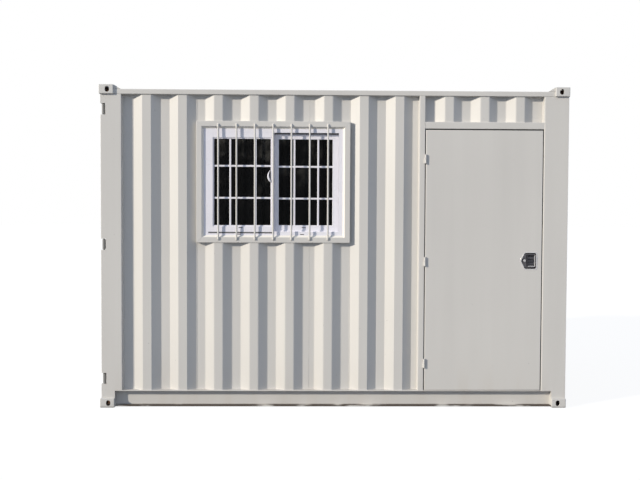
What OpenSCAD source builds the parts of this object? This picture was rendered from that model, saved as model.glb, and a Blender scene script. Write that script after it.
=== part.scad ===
// Small steel storage container: a barred sliding window and a side door in one
// long wall, and a pair of cargo doors in one end.
// +Z is up, +X runs along the length away from the cargo doors, and the wall with
// the window and the side door faces -Y. The origin is on the ground, in the
// middle of the plan. Sizes are millimetres.

/* [Overall] */
// Length over the corner castings
length = 3250; // [2900:10:6000]
// Width over the corner castings
width = 2180; // [1700:10:2500]
// Height over the corner castings
height = 2235; // [2150:5:2900]

/* [Corner castings] */
// Length and width of a casting in plan
casting_plan = 100; // [80:1:180]
// Height of a casting
casting_h = 65; // [50:1:120]
// Wall of a casting
casting_wall = 12; // [6:1:16]
// Short size of a lifting aperture
aperture_w = 30; // [16:1:40]
// Long size of a lifting aperture
aperture_h = 42; // [20:1:44]
// Middle of an aperture from the outer face beside it
aperture_in = 57; // [40:1:70]
// Castings stand proud of the long walls by this much
proud_side = 16; // [15:1:30]
// Castings stand proud of the cargo end by this much
proud_end = 8; // [8:1:30]
// Castings stand proud of the closed end by this much
proud_closed = 2; // [0:1:30]
// Length of the gusset beside a top casting
gusset_run = 48; // [20:1:90]
// Thickness of that gusset
gusset_t = 10; // [4:1:20]

/* [Posts and rails] */
// Width of a corner post along the length
post_w = 143; // [110:1:200]
// Width of the post that the side door latches to
latch_post_w = 172; // [110:1:240]
// Depth of a post across the width
post_d = 64; // [50:1:90]
// Wall of a post
post_wall = 4; // [3:0.5:8]
// Bottom rails stand above the ground by this much
rail_lift = 7; // [0:1:20]
// Top of the bottom rails above the ground
rail_top = 120; // [100:1:180]
// Web of a bottom rail lies this far behind its lips
rail_recess = 50; // [20:1:60]
// Wall of a bottom rail
rail_wall = 6; // [3:0.5:8]
// Height of a top rail
top_rail_h = 35; // [25:1:60]
// Depth of a top rail
top_rail_d = 60; // [45:1:80]
// Wall of the top rails and the door frame
tube_wall = 3; // [2:0.5:5]
// Height of the header over the cargo doors
header_h = 75; // [60:1:120]
// Header and sill of the cargo doors lie this far behind the posts' end face
header_back = 22; // [20:1:30]

/* [Corrugated sheets] */
// Thickness of the sheet
sheet = 2; // [1.2:0.1:4]
// Pitch of the ribs
pitch = 247; // [220:1:320]
// Flat top of a rib
crest_w = 60; // [30:1:80]
// Run of a rib's sloping side
slope_w = 63.5; // [30:0.5:75]
// Depth of the ribs
wave_depth = 36; // [20:1:40]
// Ribs lie this far behind the faces of posts and rails
crest_in = 8; // [2:1:12]
// First rib of the window wall from the cargo-end post
first_crest = 172; // [100:1:220]
// First rib over the side door from its jamb
over_door_crest = 167; // [100:1:220]
// Extra width of the flat at the sheet joint beside the window's third rib
joint_flat = 20; // [0:1:40]
// Depth of the roof's ribs
roof_depth = 18; // [6:1:24]

/* [Floor] */
// Thickness of the floor boards
floor_t = 21; // [15:1:30]
// Height of a cross member
member_h = 80; // [50:1:85]
// Flange of a cross member
member_w = 40; // [30:1:60]
// Wall of a cross member
member_wall = 4; // [3:0.5:6]
// Largest spacing of the cross members
member_pitch = 350; // [250:10:500]

/* [Window] */
// Guard frame from the cargo-end corner
window_x = 665; // [420:1:700]
// Guard frame above the ground
window_z = 1150; // [700:1:1200]
// Width over the guard frame
window_w = 1065; // [800:1:1300]
// Height over the guard frame
window_h = 840; // [500:1:900]
// Width of a guard frame member
guard_w = 38; // [25:1:50]
// Guard frame lies this far behind the faces of posts and rails
guard_in = 3; // [0:1:6]
// Diameter of a guard bar
bar_d = 12; // [8:1:16]
// Number of guard bars
bar_count = 7; // [3:1:11]
// Spacing of the guard bars
bar_pitch = 126.5; // [80:0.5:160]
// First bar from the guard frame's opening
first_bar = 114; // [60:1:160]
// Bars lap onto the guard frame by this much
bar_lap = 16; // [8:1:25]
// Window frame lies this far behind the guard frame's face
frame_in = 17; // [8:1:25]
// Depth of the window frame
frame_d = 60; // [52:1:80]
// Width of a window frame member
frame_w = 40; // [25:1:60]
// Depth of a sash
sash_d = 22; // [18:1:26]
// Width of a sash's rails and outer stiles
sash_w = 43; // [30:1:60]
// Width of the stile where the sashes meet
meeting_w = 24; // [15:1:40]
// Thickness of a pane
pane_t = 6; // [4:1:16]

/* [Side door] */
// Width of the leaf
leaf_w = 815; // [700:1:1000]
// Height of the leaf
leaf_h = 1814; // [1600:1:1860]
// Thickness of the leaf
leaf_t = 40; // [35:1:60]
// Gap beside the leaf
leaf_gap = 6; // [5:1:10]
// Gap over the leaf
head_gap = 8; // [5:1:12]
// Gap under the leaf
foot_gap = 2; // [2:1:10]
// Skin of the leaf
leaf_skin = 3; // [2:0.5:5]
// Width of the leaf's frame members
leaf_rim = 40; // [30:1:60]
// Width of the jamb beside the hinges
jamb_w = 40; // [30:1:60]
// Height of the head over the leaf
head_h = 48; // [30:1:60]
// Stop strip reaches into the doorway by this much
stop_reach = 22; // [12:1:40]
// Thickness of the stop strip
stop_t = 5; // [3:1:8]
// Diameter of a hinge barrel
barrel_d = 14; // [12:1:14]
// Length of a hinge barrel
barrel_l = 62; // [50:1:90]
// Diameter of a hinge pin
barrel_pin_d = 8; // [6:0.5:9]
// Lowest hinge above the ground
barrel_z = 311; // [200:1:400]
// Spacing of the hinges
barrel_pitch = 712; // [500:1:780]
// Width of the latch dish
dish_w = 115; // [90:1:130]
// Height of the latch dish
dish_h = 120; // [90:1:140]
// Run of the dish's pointed side
dish_point = 28; // [15:1:35]
// Depth of the latch dish
dish_d = 26; // [18:1:30]
// Dish from the leaf's free edge
dish_in = 35; // [20:1:60]
// Middle of the dish above the leaf's foot
dish_z = 908; // [800:1:1000]
// Width of the paddle
paddle_w = 54; // [30:1:60]
// Height of the paddle
paddle_h = 80; // [50:1:90]
// Middle of the paddle from the middle of the dish
paddle_mid = 20; // [8:1:24]

/* [Cargo doors] */
// Thickness of a cargo leaf
cargo_t = 50; // [44:1:60]
// Width of a cargo leaf's frame members
cargo_rim = 60; // [50:1:90]
// Gap round a cargo leaf, filled mostly by its seal
cargo_gap = 20; // [18:1:30]
// Seal stands out from the leaf's edge by this much
seal_w = 14; // [8:1:14]
// Height of a hinge pocket in a post
pocket_h = 78; // [66:1:100]
// Depth of a hinge pocket
pocket_d = 34; // [34:1:40]
// Lowest hinge above the ground
pocket_low = 202; // [190:1:300]
// Highest hinge below the underside of the top castings
pocket_high = 102; // [100:1:300]
// Hinge pin from both outer faces of the post
pin_in = 18; // [16:1:18]
// Diameter of a hinge pin
pin_d = 12; // [8:1:14]
// Diameter of a hinge knuckle
knuckle_d = 22; // [18:1:22]
// Thickness of a hinge blade
blade_t = 8; // [5:1:9]
// Height of a hinge blade
blade_h = 60; // [40:1:66]
// Hinge blade laps onto the leaf by this much
blade_lap = 70; // [40:1:120]
// Diameter of a lock rod
rod_d = 22; // [16:1:22]
// Lock rods from the leaf's edges
rod_in = 190; // [120:1:240]
// Length of a lock handle
handle_l = 240; // [150:1:260]
// Height of the lock handles above the ground
handle_z = 1090; // [900:1:1300]

/* [Hidden] */
$fn = 48;
// Running clearance of a pin in its bore, on the radius
fit = 0.05;
// Air between a lock rod and its guide, on the radius
rod_air = 0.3;
// Cuts run past the faces that they open
over = 1;

face_x = length / 2 - proud_end;
closed_x = length / 2 - proud_closed;
face_y = width / 2 - proud_side;
wall_back = crest_in + wave_depth + sheet;
top_z = height - casting_h;
rail_top_z = top_z + top_rail_h;
inner_post = face_y - post_d;
inner_casting_x = length / 2 - casting_plan;
inner_casting_y = width / 2 - casting_plan;
rail_back = max(rail_recess + rail_wall, wall_back);
header_z = rail_top_z - header_h;
floor_z = rail_top - floor_t;
rib_half = crest_w / 2 + slope_w;

// Window wall: x of each edge, left to right, and the heights of its openings
wall_left = -face_x + post_w;
guard_left = -length / 2 + window_x;
guard_right = guard_left + window_w;
window_crest = next_crest(guard_left - wall_left, first_crest);
middle_crest = next_crest(window_w, window_crest, joint_flat);
leaf_right = closed_x - latch_post_w - leaf_gap;
leaf_left = leaf_right - leaf_w;
jamb_right = leaf_left - leaf_gap;
jamb_left = jamb_right - jamb_w;
latch_post = closed_x - latch_post_w;
guard_top = window_z + window_h;
leaf_z = rail_top + foot_gap;
leaf_top = leaf_z + leaf_h;
head_z = leaf_top + head_gap;
head_top = head_z + head_h;
barrel_x = (leaf_left + jamb_right) / 2;
barrel_y = -face_y - barrel_d / 2 - 0.5;
leaf_back = -face_y + leaf_t;

// Window: depths from the front, and the opening of the window frame
guard_y = -face_y + guard_in;
frame_y = guard_y + frame_in;
pane_left = guard_left + guard_w + frame_w;
pane_right = guard_right - guard_w - frame_w;
pane_low = window_z + guard_w + frame_w;
pane_high = guard_top - guard_w - frame_w;
sash_meet = (pane_left + pane_right) / 2 + 5;
front_track = frame_y + frame_d / 2 - sash_d - 2;
rear_track = frame_y + frame_d / 2 + 2;

// Cargo doors, measured inwards from the outer faces of a door-end post
cargo_edge = post_d + cargo_gap;
cargo_meet = face_y - seal_w - 3;
cargo_low = rail_top + cargo_gap;
cargo_high = header_z - cargo_gap;
rod_x = pin_in - rod_d / 2 - 1.5;
rod_low = rail_top - 50;
rod_high = header_z + 50;
cam_w = 30;
cam_h = 40;
guide_w = 40;
guide_h = 40;
pocket_heights = [
    pocket_low,
    (pocket_low + top_z - pocket_high) / 2,
    top_z - pocket_high
];
barrel_heights = [for (i = [0:2]) barrel_z + i * barrel_pitch];

body_grey = "gainsboro";
steel_grey = "silver";
dark_steel = "dimgray";
white_plastic = "white";
black_rubber = "black";
pane_blue = "lightblue";
board_brown = "burlywood";

// ---- Shared shapes ----

// A box between two corners
module block(low, high) {
    translate(low) cube(high - low);
}

// A rectangular ring in the XZ plane, between two corners, with equal members
module ring(low, high, member) {
    difference() {
        block(low, high);
        block([low.x + member, low.y - over, low.z + member],
              [high.x - member, high.y + over, high.z - member]);
    }
}

// Puts a shape drawn at the corner at -X and -Y at another corner of the plan
module at_corner(end, side) {
    mirror([end > 0 ? 1 : 0, 0, 0])
        mirror([0, side > 0 ? 1 : 0, 0])
            children();
}

// Puts a shape measured inwards from a post's outer faces at its corner
module from_post(end, side) {
    at_corner(end, side)
        translate([end < 0 ? -face_x : -closed_x, -face_y, 0])
            children();
}

module both_sides() {
    children();
    mirror([0, 1, 0]) children();
}

// How many ribs fit in a run, when the first is lead from its start
function ribs(run, lead, extra = 0) =
    max(0, floor((run - lead - rib_half - extra) / pitch) + 1);

// Lead of the next panel's first rib, where the ribs carry on past a panel's end
function next_crest(run, lead, extra = 0) =
    lead + extra - run + pitch * ceil((run - lead - extra + rib_half) / pitch);

// The lead that centres the ribs in a run
function even_lead(run) =
    (run - (ribs(run, rib_half) - 1) * pitch) / 2;

// The front line of a ribbed sheet, with the ribs at y = 0 and the flats at y = depth
function rib_line(run, lead, count, depth, wide_after, extra) = concat(
    [[0, depth]],
    [for (i = [0:1:count - 1])
        let (mid = lead + i * pitch + (i >= wide_after ? extra : 0))
        for (point = [
            [mid - rib_half, depth], [mid - crest_w / 2, 0],
            [mid + crest_w / 2, 0], [mid + rib_half, depth]
        ]) point],
    [[run, depth]]
);

// A ribbed sheet standing up: its ribs run along Z and it faces -Y
module ribbed_sheet(run, lead, high, depth = wave_depth, wide_after = 99, extra = 0) {
    count = ribs(run, lead, extra);
    front = rib_line(run, lead, count, depth, wide_after, extra);
    last = len(front) - 1;
    back = [for (i = [last:-1:0]) front[i] + [0, sheet]];
    linear_extrude(high) polygon(concat(front, back));
}

// A panel of the window wall between two places along X and two heights
module wall_panel(left, right, low, high, lead, wide_after = 99, extra = 0) {
    translate([left, -face_y + crest_in, low])
        ribbed_sheet(right - left, lead, high - low, wave_depth, wide_after, extra);
}

// An oval with round ends, standing up along Y
module oval(w, h) {
    translate([0, (h - w) / 2]) circle(d = w);
    translate([0, (w - h) / 2]) circle(d = w);
    square([w, h - w], center = true);
}

// ---- Frame ----

// A hollow casting with its outer corner at the origin and its foot at z = 0
module casting() {
    wall = casting_wall;
    cut = wall + 2 * over;
    difference() {
        cube([casting_plan, casting_plan, casting_h]);
        block([wall, wall, wall],
              [casting_plan - wall, casting_plan - wall, casting_h - wall]);
        translate([aperture_in, wall + over, casting_h / 2])
            rotate([90, 0, 0]) linear_extrude(cut) oval(aperture_w, aperture_h - 2);
        translate([-over, aperture_in, casting_h / 2])
            rotate([90, 0, 90]) linear_extrude(cut) oval(aperture_w, aperture_h - 2);
        translate([aperture_in, aperture_in, -over])
            linear_extrude(cut) oval(aperture_w, aperture_h);
    }
}

module corner_castings() {
    color(body_grey)
        for (end = [-1, 1], side = [-1, 1])
            at_corner(end, side) {
                translate([-length / 2, -width / 2, 0]) casting();
                translate([-length / 2, -width / 2, height])
                    mirror([0, 0, 1]) casting();
            }
}

module corner_gussets() {
    color(body_grey)
        for (end = [-1, 1], side = [-1, 1])
            at_corner(end, side)
                translate([-inner_casting_x, -face_y + gusset_t, rail_top_z])
                    rotate([90, 0, 0]) linear_extrude(gusset_t)
                        polygon([[0, 0], [gusset_run, 0], [0, height - rail_top_z]]);
}

// A hollow post from its outer corner; below the rail top it is as wide as a casting
module post(w, proud) {
    foot_w = casting_plan - proud;
    difference() {
        union() {
            block([0, 0, rail_top], [w, post_d, top_z]);
            block([0, 0, casting_h], [foot_w, post_d, rail_top]);
        }
        block([post_wall, post_wall, rail_top - over],
              [foot_w - post_wall, post_d - post_wall, top_z + over]);
        block([post_wall, post_wall, rail_top],
              [w - post_wall, post_d - post_wall, top_z + over]);
        block([post_wall, post_wall, casting_h - over],
              [foot_w - post_wall, post_d - post_wall, rail_top]);
    }
}

// A post with a lined pocket in its outer corner at each cargo hinge
module pocket_post() {
    difference() {
        union() {
            post(post_w, proud_end);
            for (z = pocket_heights)
                block([0, 0, z - pocket_h / 2 - post_wall],
                      [pocket_d + post_wall, post_d, z + pocket_h / 2 + post_wall]);
        }
        for (z = pocket_heights)
            block([-over, -over, z - pocket_h / 2],
                  [pocket_d, post_d + over, z + pocket_h / 2]);
    }
}

module door_end_posts() {
    color(body_grey) both_sides() from_post(-1, -1) pocket_post();
}

module closed_end_posts() {
    color(body_grey) {
        from_post(1, -1) post(latch_post_w, proud_closed);
        from_post(1, 1) post(post_w, proud_closed);
    }
}

module top_side_rails() {
    color(body_grey) both_sides()
        difference() {
            block([-inner_casting_x, -face_y, top_z],
                  [inner_casting_x, -face_y + top_rail_d, rail_top_z]);
            block([-inner_casting_x - over, -face_y + tube_wall, top_z + tube_wall],
                  [inner_casting_x + over, -face_y + top_rail_d - tube_wall,
                   rail_top_z - tube_wall]);
        }
}

// A channel along X from -half to half, with its lips at y = 0 and its web behind
module bottom_channel(half) {
    difference() {
        block([-half, 0, rail_lift], [half, rail_back, rail_top]);
        block([-half - over, -over, rail_lift + rail_wall],
              [half + over, rail_back - rail_wall, rail_top - rail_wall]);
    }
}

module bottom_side_rails() {
    color(body_grey) both_sides()
        translate([0, -face_y, 0]) bottom_channel(inner_casting_x);
}

// A tube across the width that fits between the castings and, where it lies
// beside them, between the posts
module end_tube(from_x, to_x, low, high, casting_low, casting_high) {
    wall = post_wall;
    reach = inner_post + over;
    difference() {
        union() {
            block([from_x, -inner_casting_y, low], [to_x, inner_casting_y, high]);
            block([from_x, -inner_post, casting_low], [to_x, inner_post, casting_high]);
        }
        block([from_x + wall, -reach, low + wall], [to_x - wall, reach, high - wall]);
    }
}

module top_end_rails() {
    color(body_grey) {
        end_tube(-face_x + header_back, -inner_casting_x, header_z, rail_top_z,
                 header_z, top_z);
        difference() {
            block([inner_casting_x, -inner_casting_y, top_z],
                  [closed_x, inner_casting_y, rail_top_z]);
            block([inner_casting_x + tube_wall, -inner_casting_y - over,
                   top_z + tube_wall],
                  [closed_x - tube_wall, inner_casting_y + over,
                   rail_top_z - tube_wall]);
        }
    }
}

module bottom_end_rails() {
    color(body_grey) {
        end_tube(-face_x + header_back, -inner_casting_x, rail_lift, rail_top,
                 casting_h, rail_top);
        translate([closed_x, 0, 0]) rotate([0, 0, 90]) bottom_channel(inner_casting_y);
    }
}

// A channel across the width, with its web at x = 0
module cross_member() {
    half = face_y - rail_back;
    difference() {
        block([0, -half, floor_z - member_h], [member_w, half, floor_z]);
        block([member_wall, -half - over, floor_z - member_h + member_wall],
              [member_w + over, half + over, floor_z - member_wall]);
    }
}

module cross_members() {
    first = -inner_casting_x + member_w;
    run = 2 * inner_casting_x - 3 * member_w;
    bays = ceil(run / member_pitch);
    color(body_grey)
        for (i = [0:bays])
            translate([first + i * run / bays, 0, 0]) cross_member();
}

module floor() {
    half = face_y - rail_back;
    color(board_brown)
        difference() {
            block([-inner_casting_x, -half, floor_z], [closed_x - rail_back, half, rail_top]);
            for (side = [-1, 1])
                at_corner(1, side)
                    block([-closed_x, -face_y, floor_z - over],
                          [-inner_casting_x, -inner_post, rail_top + over]);
        }
}

module roof() {
    half = face_y - top_rail_d;
    run = 2 * inner_casting_x;
    color(body_grey)
        translate([-inner_casting_x, -half, rail_top_z - sheet])
            rotate([-90, 0, 0])
                ribbed_sheet(run, even_lead(run), 2 * half, roof_depth);
}

// ---- Walls ----

module front_wall_left() {
    color(body_grey)
        wall_panel(wall_left, guard_left, rail_top, top_z, first_crest);
}

module front_wall_below_window() {
    color(body_grey)
        wall_panel(guard_left, guard_right, rail_top, window_z, window_crest, 3,
                   joint_flat);
}

module front_wall_above_window() {
    color(body_grey)
        wall_panel(guard_left, guard_right, guard_top, top_z, window_crest, 3,
                   joint_flat);
}

module front_wall_middle() {
    color(body_grey)
        wall_panel(guard_right, jamb_left, rail_top, top_z, middle_crest);
}

module front_wall_over_door() {
    color(body_grey)
        wall_panel(jamb_right, latch_post, head_top, top_z, over_door_crest);
}

module rear_wall() {
    right = closed_x - post_w;
    color(body_grey)
        mirror([0, 1, 0])
            wall_panel(wall_left, right, rail_top, top_z, even_lead(right - wall_left));
}

module end_wall() {
    run = 2 * inner_post;
    color(body_grey)
        translate([closed_x - crest_in, -inner_post, rail_top])
            rotate([0, 0, 90])
                ribbed_sheet(run, even_lead(run), top_z - rail_top);
}

// ---- Side doorway ----

module door_jamb() {
    wall = tube_wall;
    color(body_grey)
        difference() {
            block([jamb_left, -face_y, rail_top],
                  [jamb_right, -face_y + top_rail_d, top_z]);
            block([jamb_left + wall, -face_y + wall, rail_top - over],
                  [jamb_right - wall, -face_y + top_rail_d - wall, top_z + over]);
        }
}

module door_head() {
    wall = tube_wall;
    color(body_grey)
        difference() {
            block([jamb_right, -face_y, head_z],
                  [latch_post, -face_y + top_rail_d, head_top]);
            block([jamb_right - over, -face_y + wall, head_z + wall],
                  [latch_post + over, -face_y + top_rail_d - wall, head_top - wall]);
        }
}

module door_stop() {
    front = leaf_back + leaf_gap;
    color(body_grey)
        difference() {
            block([jamb_right, front, rail_top], [latch_post, front + stop_t, head_z]);
            block([jamb_right + stop_reach, front - over, rail_top - over],
                  [latch_post - stop_reach, front + stop_t + over,
                   head_z - stop_reach]);
        }
}

// The lower half of each barrel, welded to the jamb, with its pin
module side_door_hinge_pins() {
    half = barrel_l / 2;
    color(steel_grey)
        for (z = barrel_heights)
            translate([barrel_x, barrel_y, z]) {
                translate([0, 0, -half]) cylinder(d = barrel_d, h = half - 1);
                translate([0, 0, -half]) cylinder(d = barrel_pin_d, h = barrel_l - 4);
                block([-barrel_d / 2 - 3, 0, -half], [0, barrel_d / 2 + 0.5, -1]);
            }
}

// ---- Side door ----

// Outline of the latch dish, drawn in by a margin, with its point towards -X
module dish_outline(margin) {
    high = dish_h / 2 - margin;
    shoulder = -dish_w / 2 + dish_point + 0.6 * margin;
    polygon([
        [-dish_w / 2 + 1.1 * margin, 0], [shoulder, high],
        [dish_w / 2 - margin, high], [dish_w / 2 - margin, -high],
        [shoulder, -high]
    ]);
}

// Puts a shape drawn on the dish's outline on the leaf; it grows into the leaf
module at_dish(from_face) {
    translate([leaf_right - dish_in - dish_w / 2, -face_y + from_face,
               leaf_z + dish_z])
        rotate([90, 0, 0])
            mirror([0, 0, 1])
                children();
}

module side_door_leaf() {
    rim = leaf_rim;
    mid = (leaf_z + leaf_top) / 2;
    back = leaf_back + over;
    color(body_grey)
        difference() {
            block([leaf_left, -face_y, leaf_z], [leaf_right, leaf_back, leaf_top]);
            block([leaf_left + rim, -face_y + leaf_skin, leaf_z + rim],
                  [leaf_right - rim, back, mid - rim / 2]);
            block([leaf_left + rim, -face_y + leaf_skin, mid + rim / 2],
                  [leaf_right - rim, back, leaf_top - rim]);
            at_dish(-over) linear_extrude(dish_d + over) dish_outline(5);
        }
}

// The upper half of each barrel, welded to the leaf
module side_door_knuckles() {
    half = barrel_l / 2;
    color(steel_grey)
        for (z = barrel_heights)
            translate([barrel_x, barrel_y, z])
                difference() {
                    union() {
                        translate([0, 0, 1]) cylinder(d = barrel_d, h = half - 1);
                        block([0, 0, 1],
                              [barrel_d / 2 + 3, barrel_d / 2 + 0.5, half]);
                    }
                    cylinder(d = barrel_pin_d + 2 * fit, h = barrel_l);
                }
}

module latch_dish() {
    color(steel_grey)
        difference() {
            union() {
                at_dish(-2) linear_extrude(2) dish_outline(0);
                at_dish(0) linear_extrude(dish_d) dish_outline(5);
            }
            at_dish(-2 - over) linear_extrude(dish_d + over) dish_outline(7);
        }
}

module latch_paddle() {
    color(dark_steel)
        at_dish(3) {
            translate([paddle_mid - paddle_w / 2, -paddle_h / 2, 0])
                cube([paddle_w, paddle_h, 6]);
            translate([2, paddle_h / 2 - 24, 6])
                cube([20, 20, dish_d - 11]);
        }
}

// ---- Window ----

// A channel all round, open towards the inside of the wall
module guard_frame() {
    back = -face_y + wall_back;
    wall = tube_wall;
    color(body_grey)
        difference() {
            ring([guard_left, guard_y, window_z], [guard_right, back, guard_top], guard_w);
            ring([guard_left + wall, guard_y + wall, window_z + wall],
                 [guard_right - wall, back + over, guard_top - wall],
                 guard_w - 2 * wall);
        }
}

module guard_bars() {
    low = window_z + guard_w - bar_lap;
    high = guard_top - guard_w + bar_lap;
    first = guard_left + guard_w + first_bar;
    color(body_grey)
        difference() {
            for (i = [0:bar_count - 1])
                translate([first + i * bar_pitch, guard_y - bar_d / 2 + 1, low])
                    cylinder(d = bar_d, h = high - low);
            ring([guard_left, guard_y, window_z],
                 [guard_right, guard_y + bar_d, guard_top], guard_w);
        }
}

module window_frame() {
    color(white_plastic)
        ring([guard_left + guard_w, frame_y, window_z + guard_w],
             [guard_right - guard_w, frame_y + frame_d, guard_top - guard_w], frame_w);
}

// A sash between two places along X; a pane fits the opening that its stiles leave
module sash(left, right, y, left_stile, right_stile) {
    color(white_plastic)
        difference() {
            block([left, y, pane_low], [right, y + sash_d, pane_high]);
            block([left + left_stile, y - over, pane_low + sash_w],
                  [right - right_stile, y + sash_d + over, pane_high - sash_w]);
        }
}

module pane(left, right, y) {
    mid = y + (sash_d - pane_t) / 2;
    color(pane_blue)
        block([left, mid, pane_low + sash_w], [right, mid + pane_t, pane_high - sash_w]);
}

module window_sash_left() {
    sash(pane_left, sash_meet, front_track, sash_w, meeting_w);
}

module window_sash_right() {
    sash(sash_meet - meeting_w / 2, pane_right, rear_track, sash_w, sash_w);
}

module window_pane_left() {
    pane(pane_left + sash_w, sash_meet - meeting_w, front_track);
}

module window_pane_right() {
    pane(sash_meet - meeting_w / 2 + sash_w, pane_right - sash_w, rear_track);
}

// ---- Cargo doors ----

module cargo_hinge_pins() {
    color(steel_grey)
        both_sides() from_post(-1, -1)
            for (z = pocket_heights)
                translate([pin_in, pin_in, z - pocket_h / 2])
                    cylinder(d = pin_d, h = pocket_h);
}

// Distance of each lock rod from the outer side face of its post
rod_places = [cargo_edge + rod_in, cargo_meet - rod_in];

// A frame with a ribbed panel, all one welded piece
module cargo_leaf() {
    rim = cargo_rim;
    panel_run = cargo_meet - cargo_edge - 2 * rim;
    panel_x = pin_in + (cargo_t - wave_depth - sheet) / 2;
    color(body_grey) {
        difference() {
            block([pin_in, cargo_edge, cargo_low],
                  [pin_in + cargo_t, cargo_meet, cargo_high]);
            block([pin_in - over, cargo_edge + rim, cargo_low + rim],
                  [pin_in + cargo_t + over, cargo_meet - rim, cargo_high - rim]);
        }
        translate([panel_x, cargo_edge + rim, cargo_low + rim])
            mirror([1, -1, 0])
                ribbed_sheet(panel_run, even_lead(panel_run),
                             cargo_high - cargo_low - 2 * rim);
    }
}

module cargo_hinges() {
    color(steel_grey)
        for (z = pocket_heights)
            translate([pin_in, pin_in, z])
                difference() {
                    union() {
                        cylinder(d = knuckle_d, h = pocket_h - 10, center = true);
                        block([-blade_t, 0, -blade_h / 2],
                              [0, cargo_edge + blade_lap - pin_in, blade_h / 2]);
                    }
                    cylinder(d = pin_d + 2 * fit, h = pocket_h, center = true);
                }
}

// Each rod has a cam at both ends and a flat handle that points to the other rod
module cargo_rods() {
    color(steel_grey)
        for (i = [0, 1])
            translate([rod_x, rod_places[i], 0]) {
                translate([0, 0, rod_low]) cylinder(d = rod_d, h = rod_high - rod_low);
                for (z = [rod_low, rod_high - cam_h])
                    block([-rod_d / 2, -cam_w / 2, z], [rod_d / 2, cam_w / 2, z + cam_h]);
                mirror([0, i, 0])
                    block([-4, 0, handle_z - 15], [4, handle_l, handle_z + 15]);
            }
}

// Guides that hold the rods on the leaf
module cargo_guides() {
    reach = rod_d / 2 + 2;
    step = (cargo_high - cargo_low - 2 * cargo_rim) / 3 + cargo_rim / 3;
    color(dark_steel)
        for (place = rod_places, k = [0:3])
            translate([rod_x, place, cargo_low + cargo_rim / 2 + k * step])
                difference() {
                    block([-reach, -guide_w / 2, -guide_h / 2],
                          [pin_in - rod_x, guide_w / 2, guide_h / 2]);
                    cylinder(r = rod_d / 2 + rod_air, h = 2 * guide_h, center = true);
                }
}

module cargo_seal() {
    low = [pin_in + 12, cargo_edge - seal_w, cargo_low - seal_w];
    high = [pin_in + 38, cargo_meet + seal_w, cargo_high + seal_w];
    color(black_rubber)
        difference() {
            block(low, high);
            block([low.x - over, cargo_edge, cargo_low],
                  [high.x + over, cargo_meet, cargo_high]);
        }
}

// A pair of lugs either side of each rod's cams, on the header and the sill
module rod_keepers() {
    color(steel_grey)
        both_sides() from_post(-1, -1)
            for (place = rod_places, z = [rod_low, rod_high - cam_h], lug = [-1, 1])
                translate([0, place + lug * (cam_w / 2 + 10), z])
                    block([-6, -4, 0], [header_back, 4, cam_h]);
}

module front_cargo_leaf() { from_post(-1, -1) cargo_leaf(); }
module front_cargo_hinges() { from_post(-1, -1) cargo_hinges(); }
module front_cargo_rods() { from_post(-1, -1) cargo_rods(); }
module front_cargo_guides() { from_post(-1, -1) cargo_guides(); }
module front_cargo_seal() { from_post(-1, -1) cargo_seal(); }
module rear_cargo_leaf() { from_post(-1, 1) cargo_leaf(); }
module rear_cargo_hinges() { from_post(-1, 1) cargo_hinges(); }
module rear_cargo_rods() { from_post(-1, 1) cargo_rods(); }
module rear_cargo_guides() { from_post(-1, 1) cargo_guides(); }
module rear_cargo_seal() { from_post(-1, 1) cargo_seal(); }

corner_castings();
corner_gussets();
door_end_posts();
closed_end_posts();
top_side_rails();
bottom_side_rails();
top_end_rails();
bottom_end_rails();
cross_members();
floor();
roof();
front_wall_left();
front_wall_below_window();
front_wall_above_window();
front_wall_middle();
front_wall_over_door();
rear_wall();
end_wall();
door_jamb();
door_head();
door_stop();
side_door_hinge_pins();
cargo_hinge_pins();
rod_keepers();
guard_frame();
guard_bars();
window_frame();
window_sash_left();
window_sash_right();
window_pane_left();
window_pane_right();
side_door_leaf();
side_door_knuckles();
latch_dish();
latch_paddle();
front_cargo_leaf();
front_cargo_hinges();
front_cargo_rods();
front_cargo_guides();
front_cargo_seal();
rear_cargo_leaf();
rear_cargo_hinges();
rear_cargo_rods();
rear_cargo_guides();
rear_cargo_seal();
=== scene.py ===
"""Looks of a small corrugated steel storage container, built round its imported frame."""

import logging
import math
from dataclasses import dataclass
from enum import Enum
from typing import Callable, Iterable, Iterator, Optional, Union

import bmesh
import bpy
from mathutils import Matrix, Vector


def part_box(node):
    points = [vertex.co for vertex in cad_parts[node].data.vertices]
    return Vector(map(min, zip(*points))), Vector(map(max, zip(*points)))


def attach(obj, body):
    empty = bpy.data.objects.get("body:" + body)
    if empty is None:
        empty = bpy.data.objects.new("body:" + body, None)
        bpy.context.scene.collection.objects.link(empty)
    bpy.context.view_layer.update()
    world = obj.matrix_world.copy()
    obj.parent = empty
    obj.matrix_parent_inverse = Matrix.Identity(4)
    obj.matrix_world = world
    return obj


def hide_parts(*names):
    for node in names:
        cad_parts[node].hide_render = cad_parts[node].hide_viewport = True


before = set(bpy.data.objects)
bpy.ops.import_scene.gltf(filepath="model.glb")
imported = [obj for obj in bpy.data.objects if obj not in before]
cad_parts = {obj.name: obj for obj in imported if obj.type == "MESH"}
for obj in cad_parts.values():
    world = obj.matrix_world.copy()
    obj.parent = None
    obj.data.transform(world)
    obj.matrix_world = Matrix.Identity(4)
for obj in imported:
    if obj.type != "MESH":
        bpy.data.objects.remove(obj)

LOG = logging.getLogger("container")
Colour = tuple[float, float, float]
Place = tuple[float, float, float]
Mesh = bmesh.types.BMesh
Material = bpy.types.Material


class Body(Enum):
    """The bodies that pieces ride on."""

    CONTAINER = "container"
    SIDE_DOOR = "side_door"
    FRONT_CARGO = "front_cargo_door"
    REAR_CARGO = "rear_cargo_door"


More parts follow.
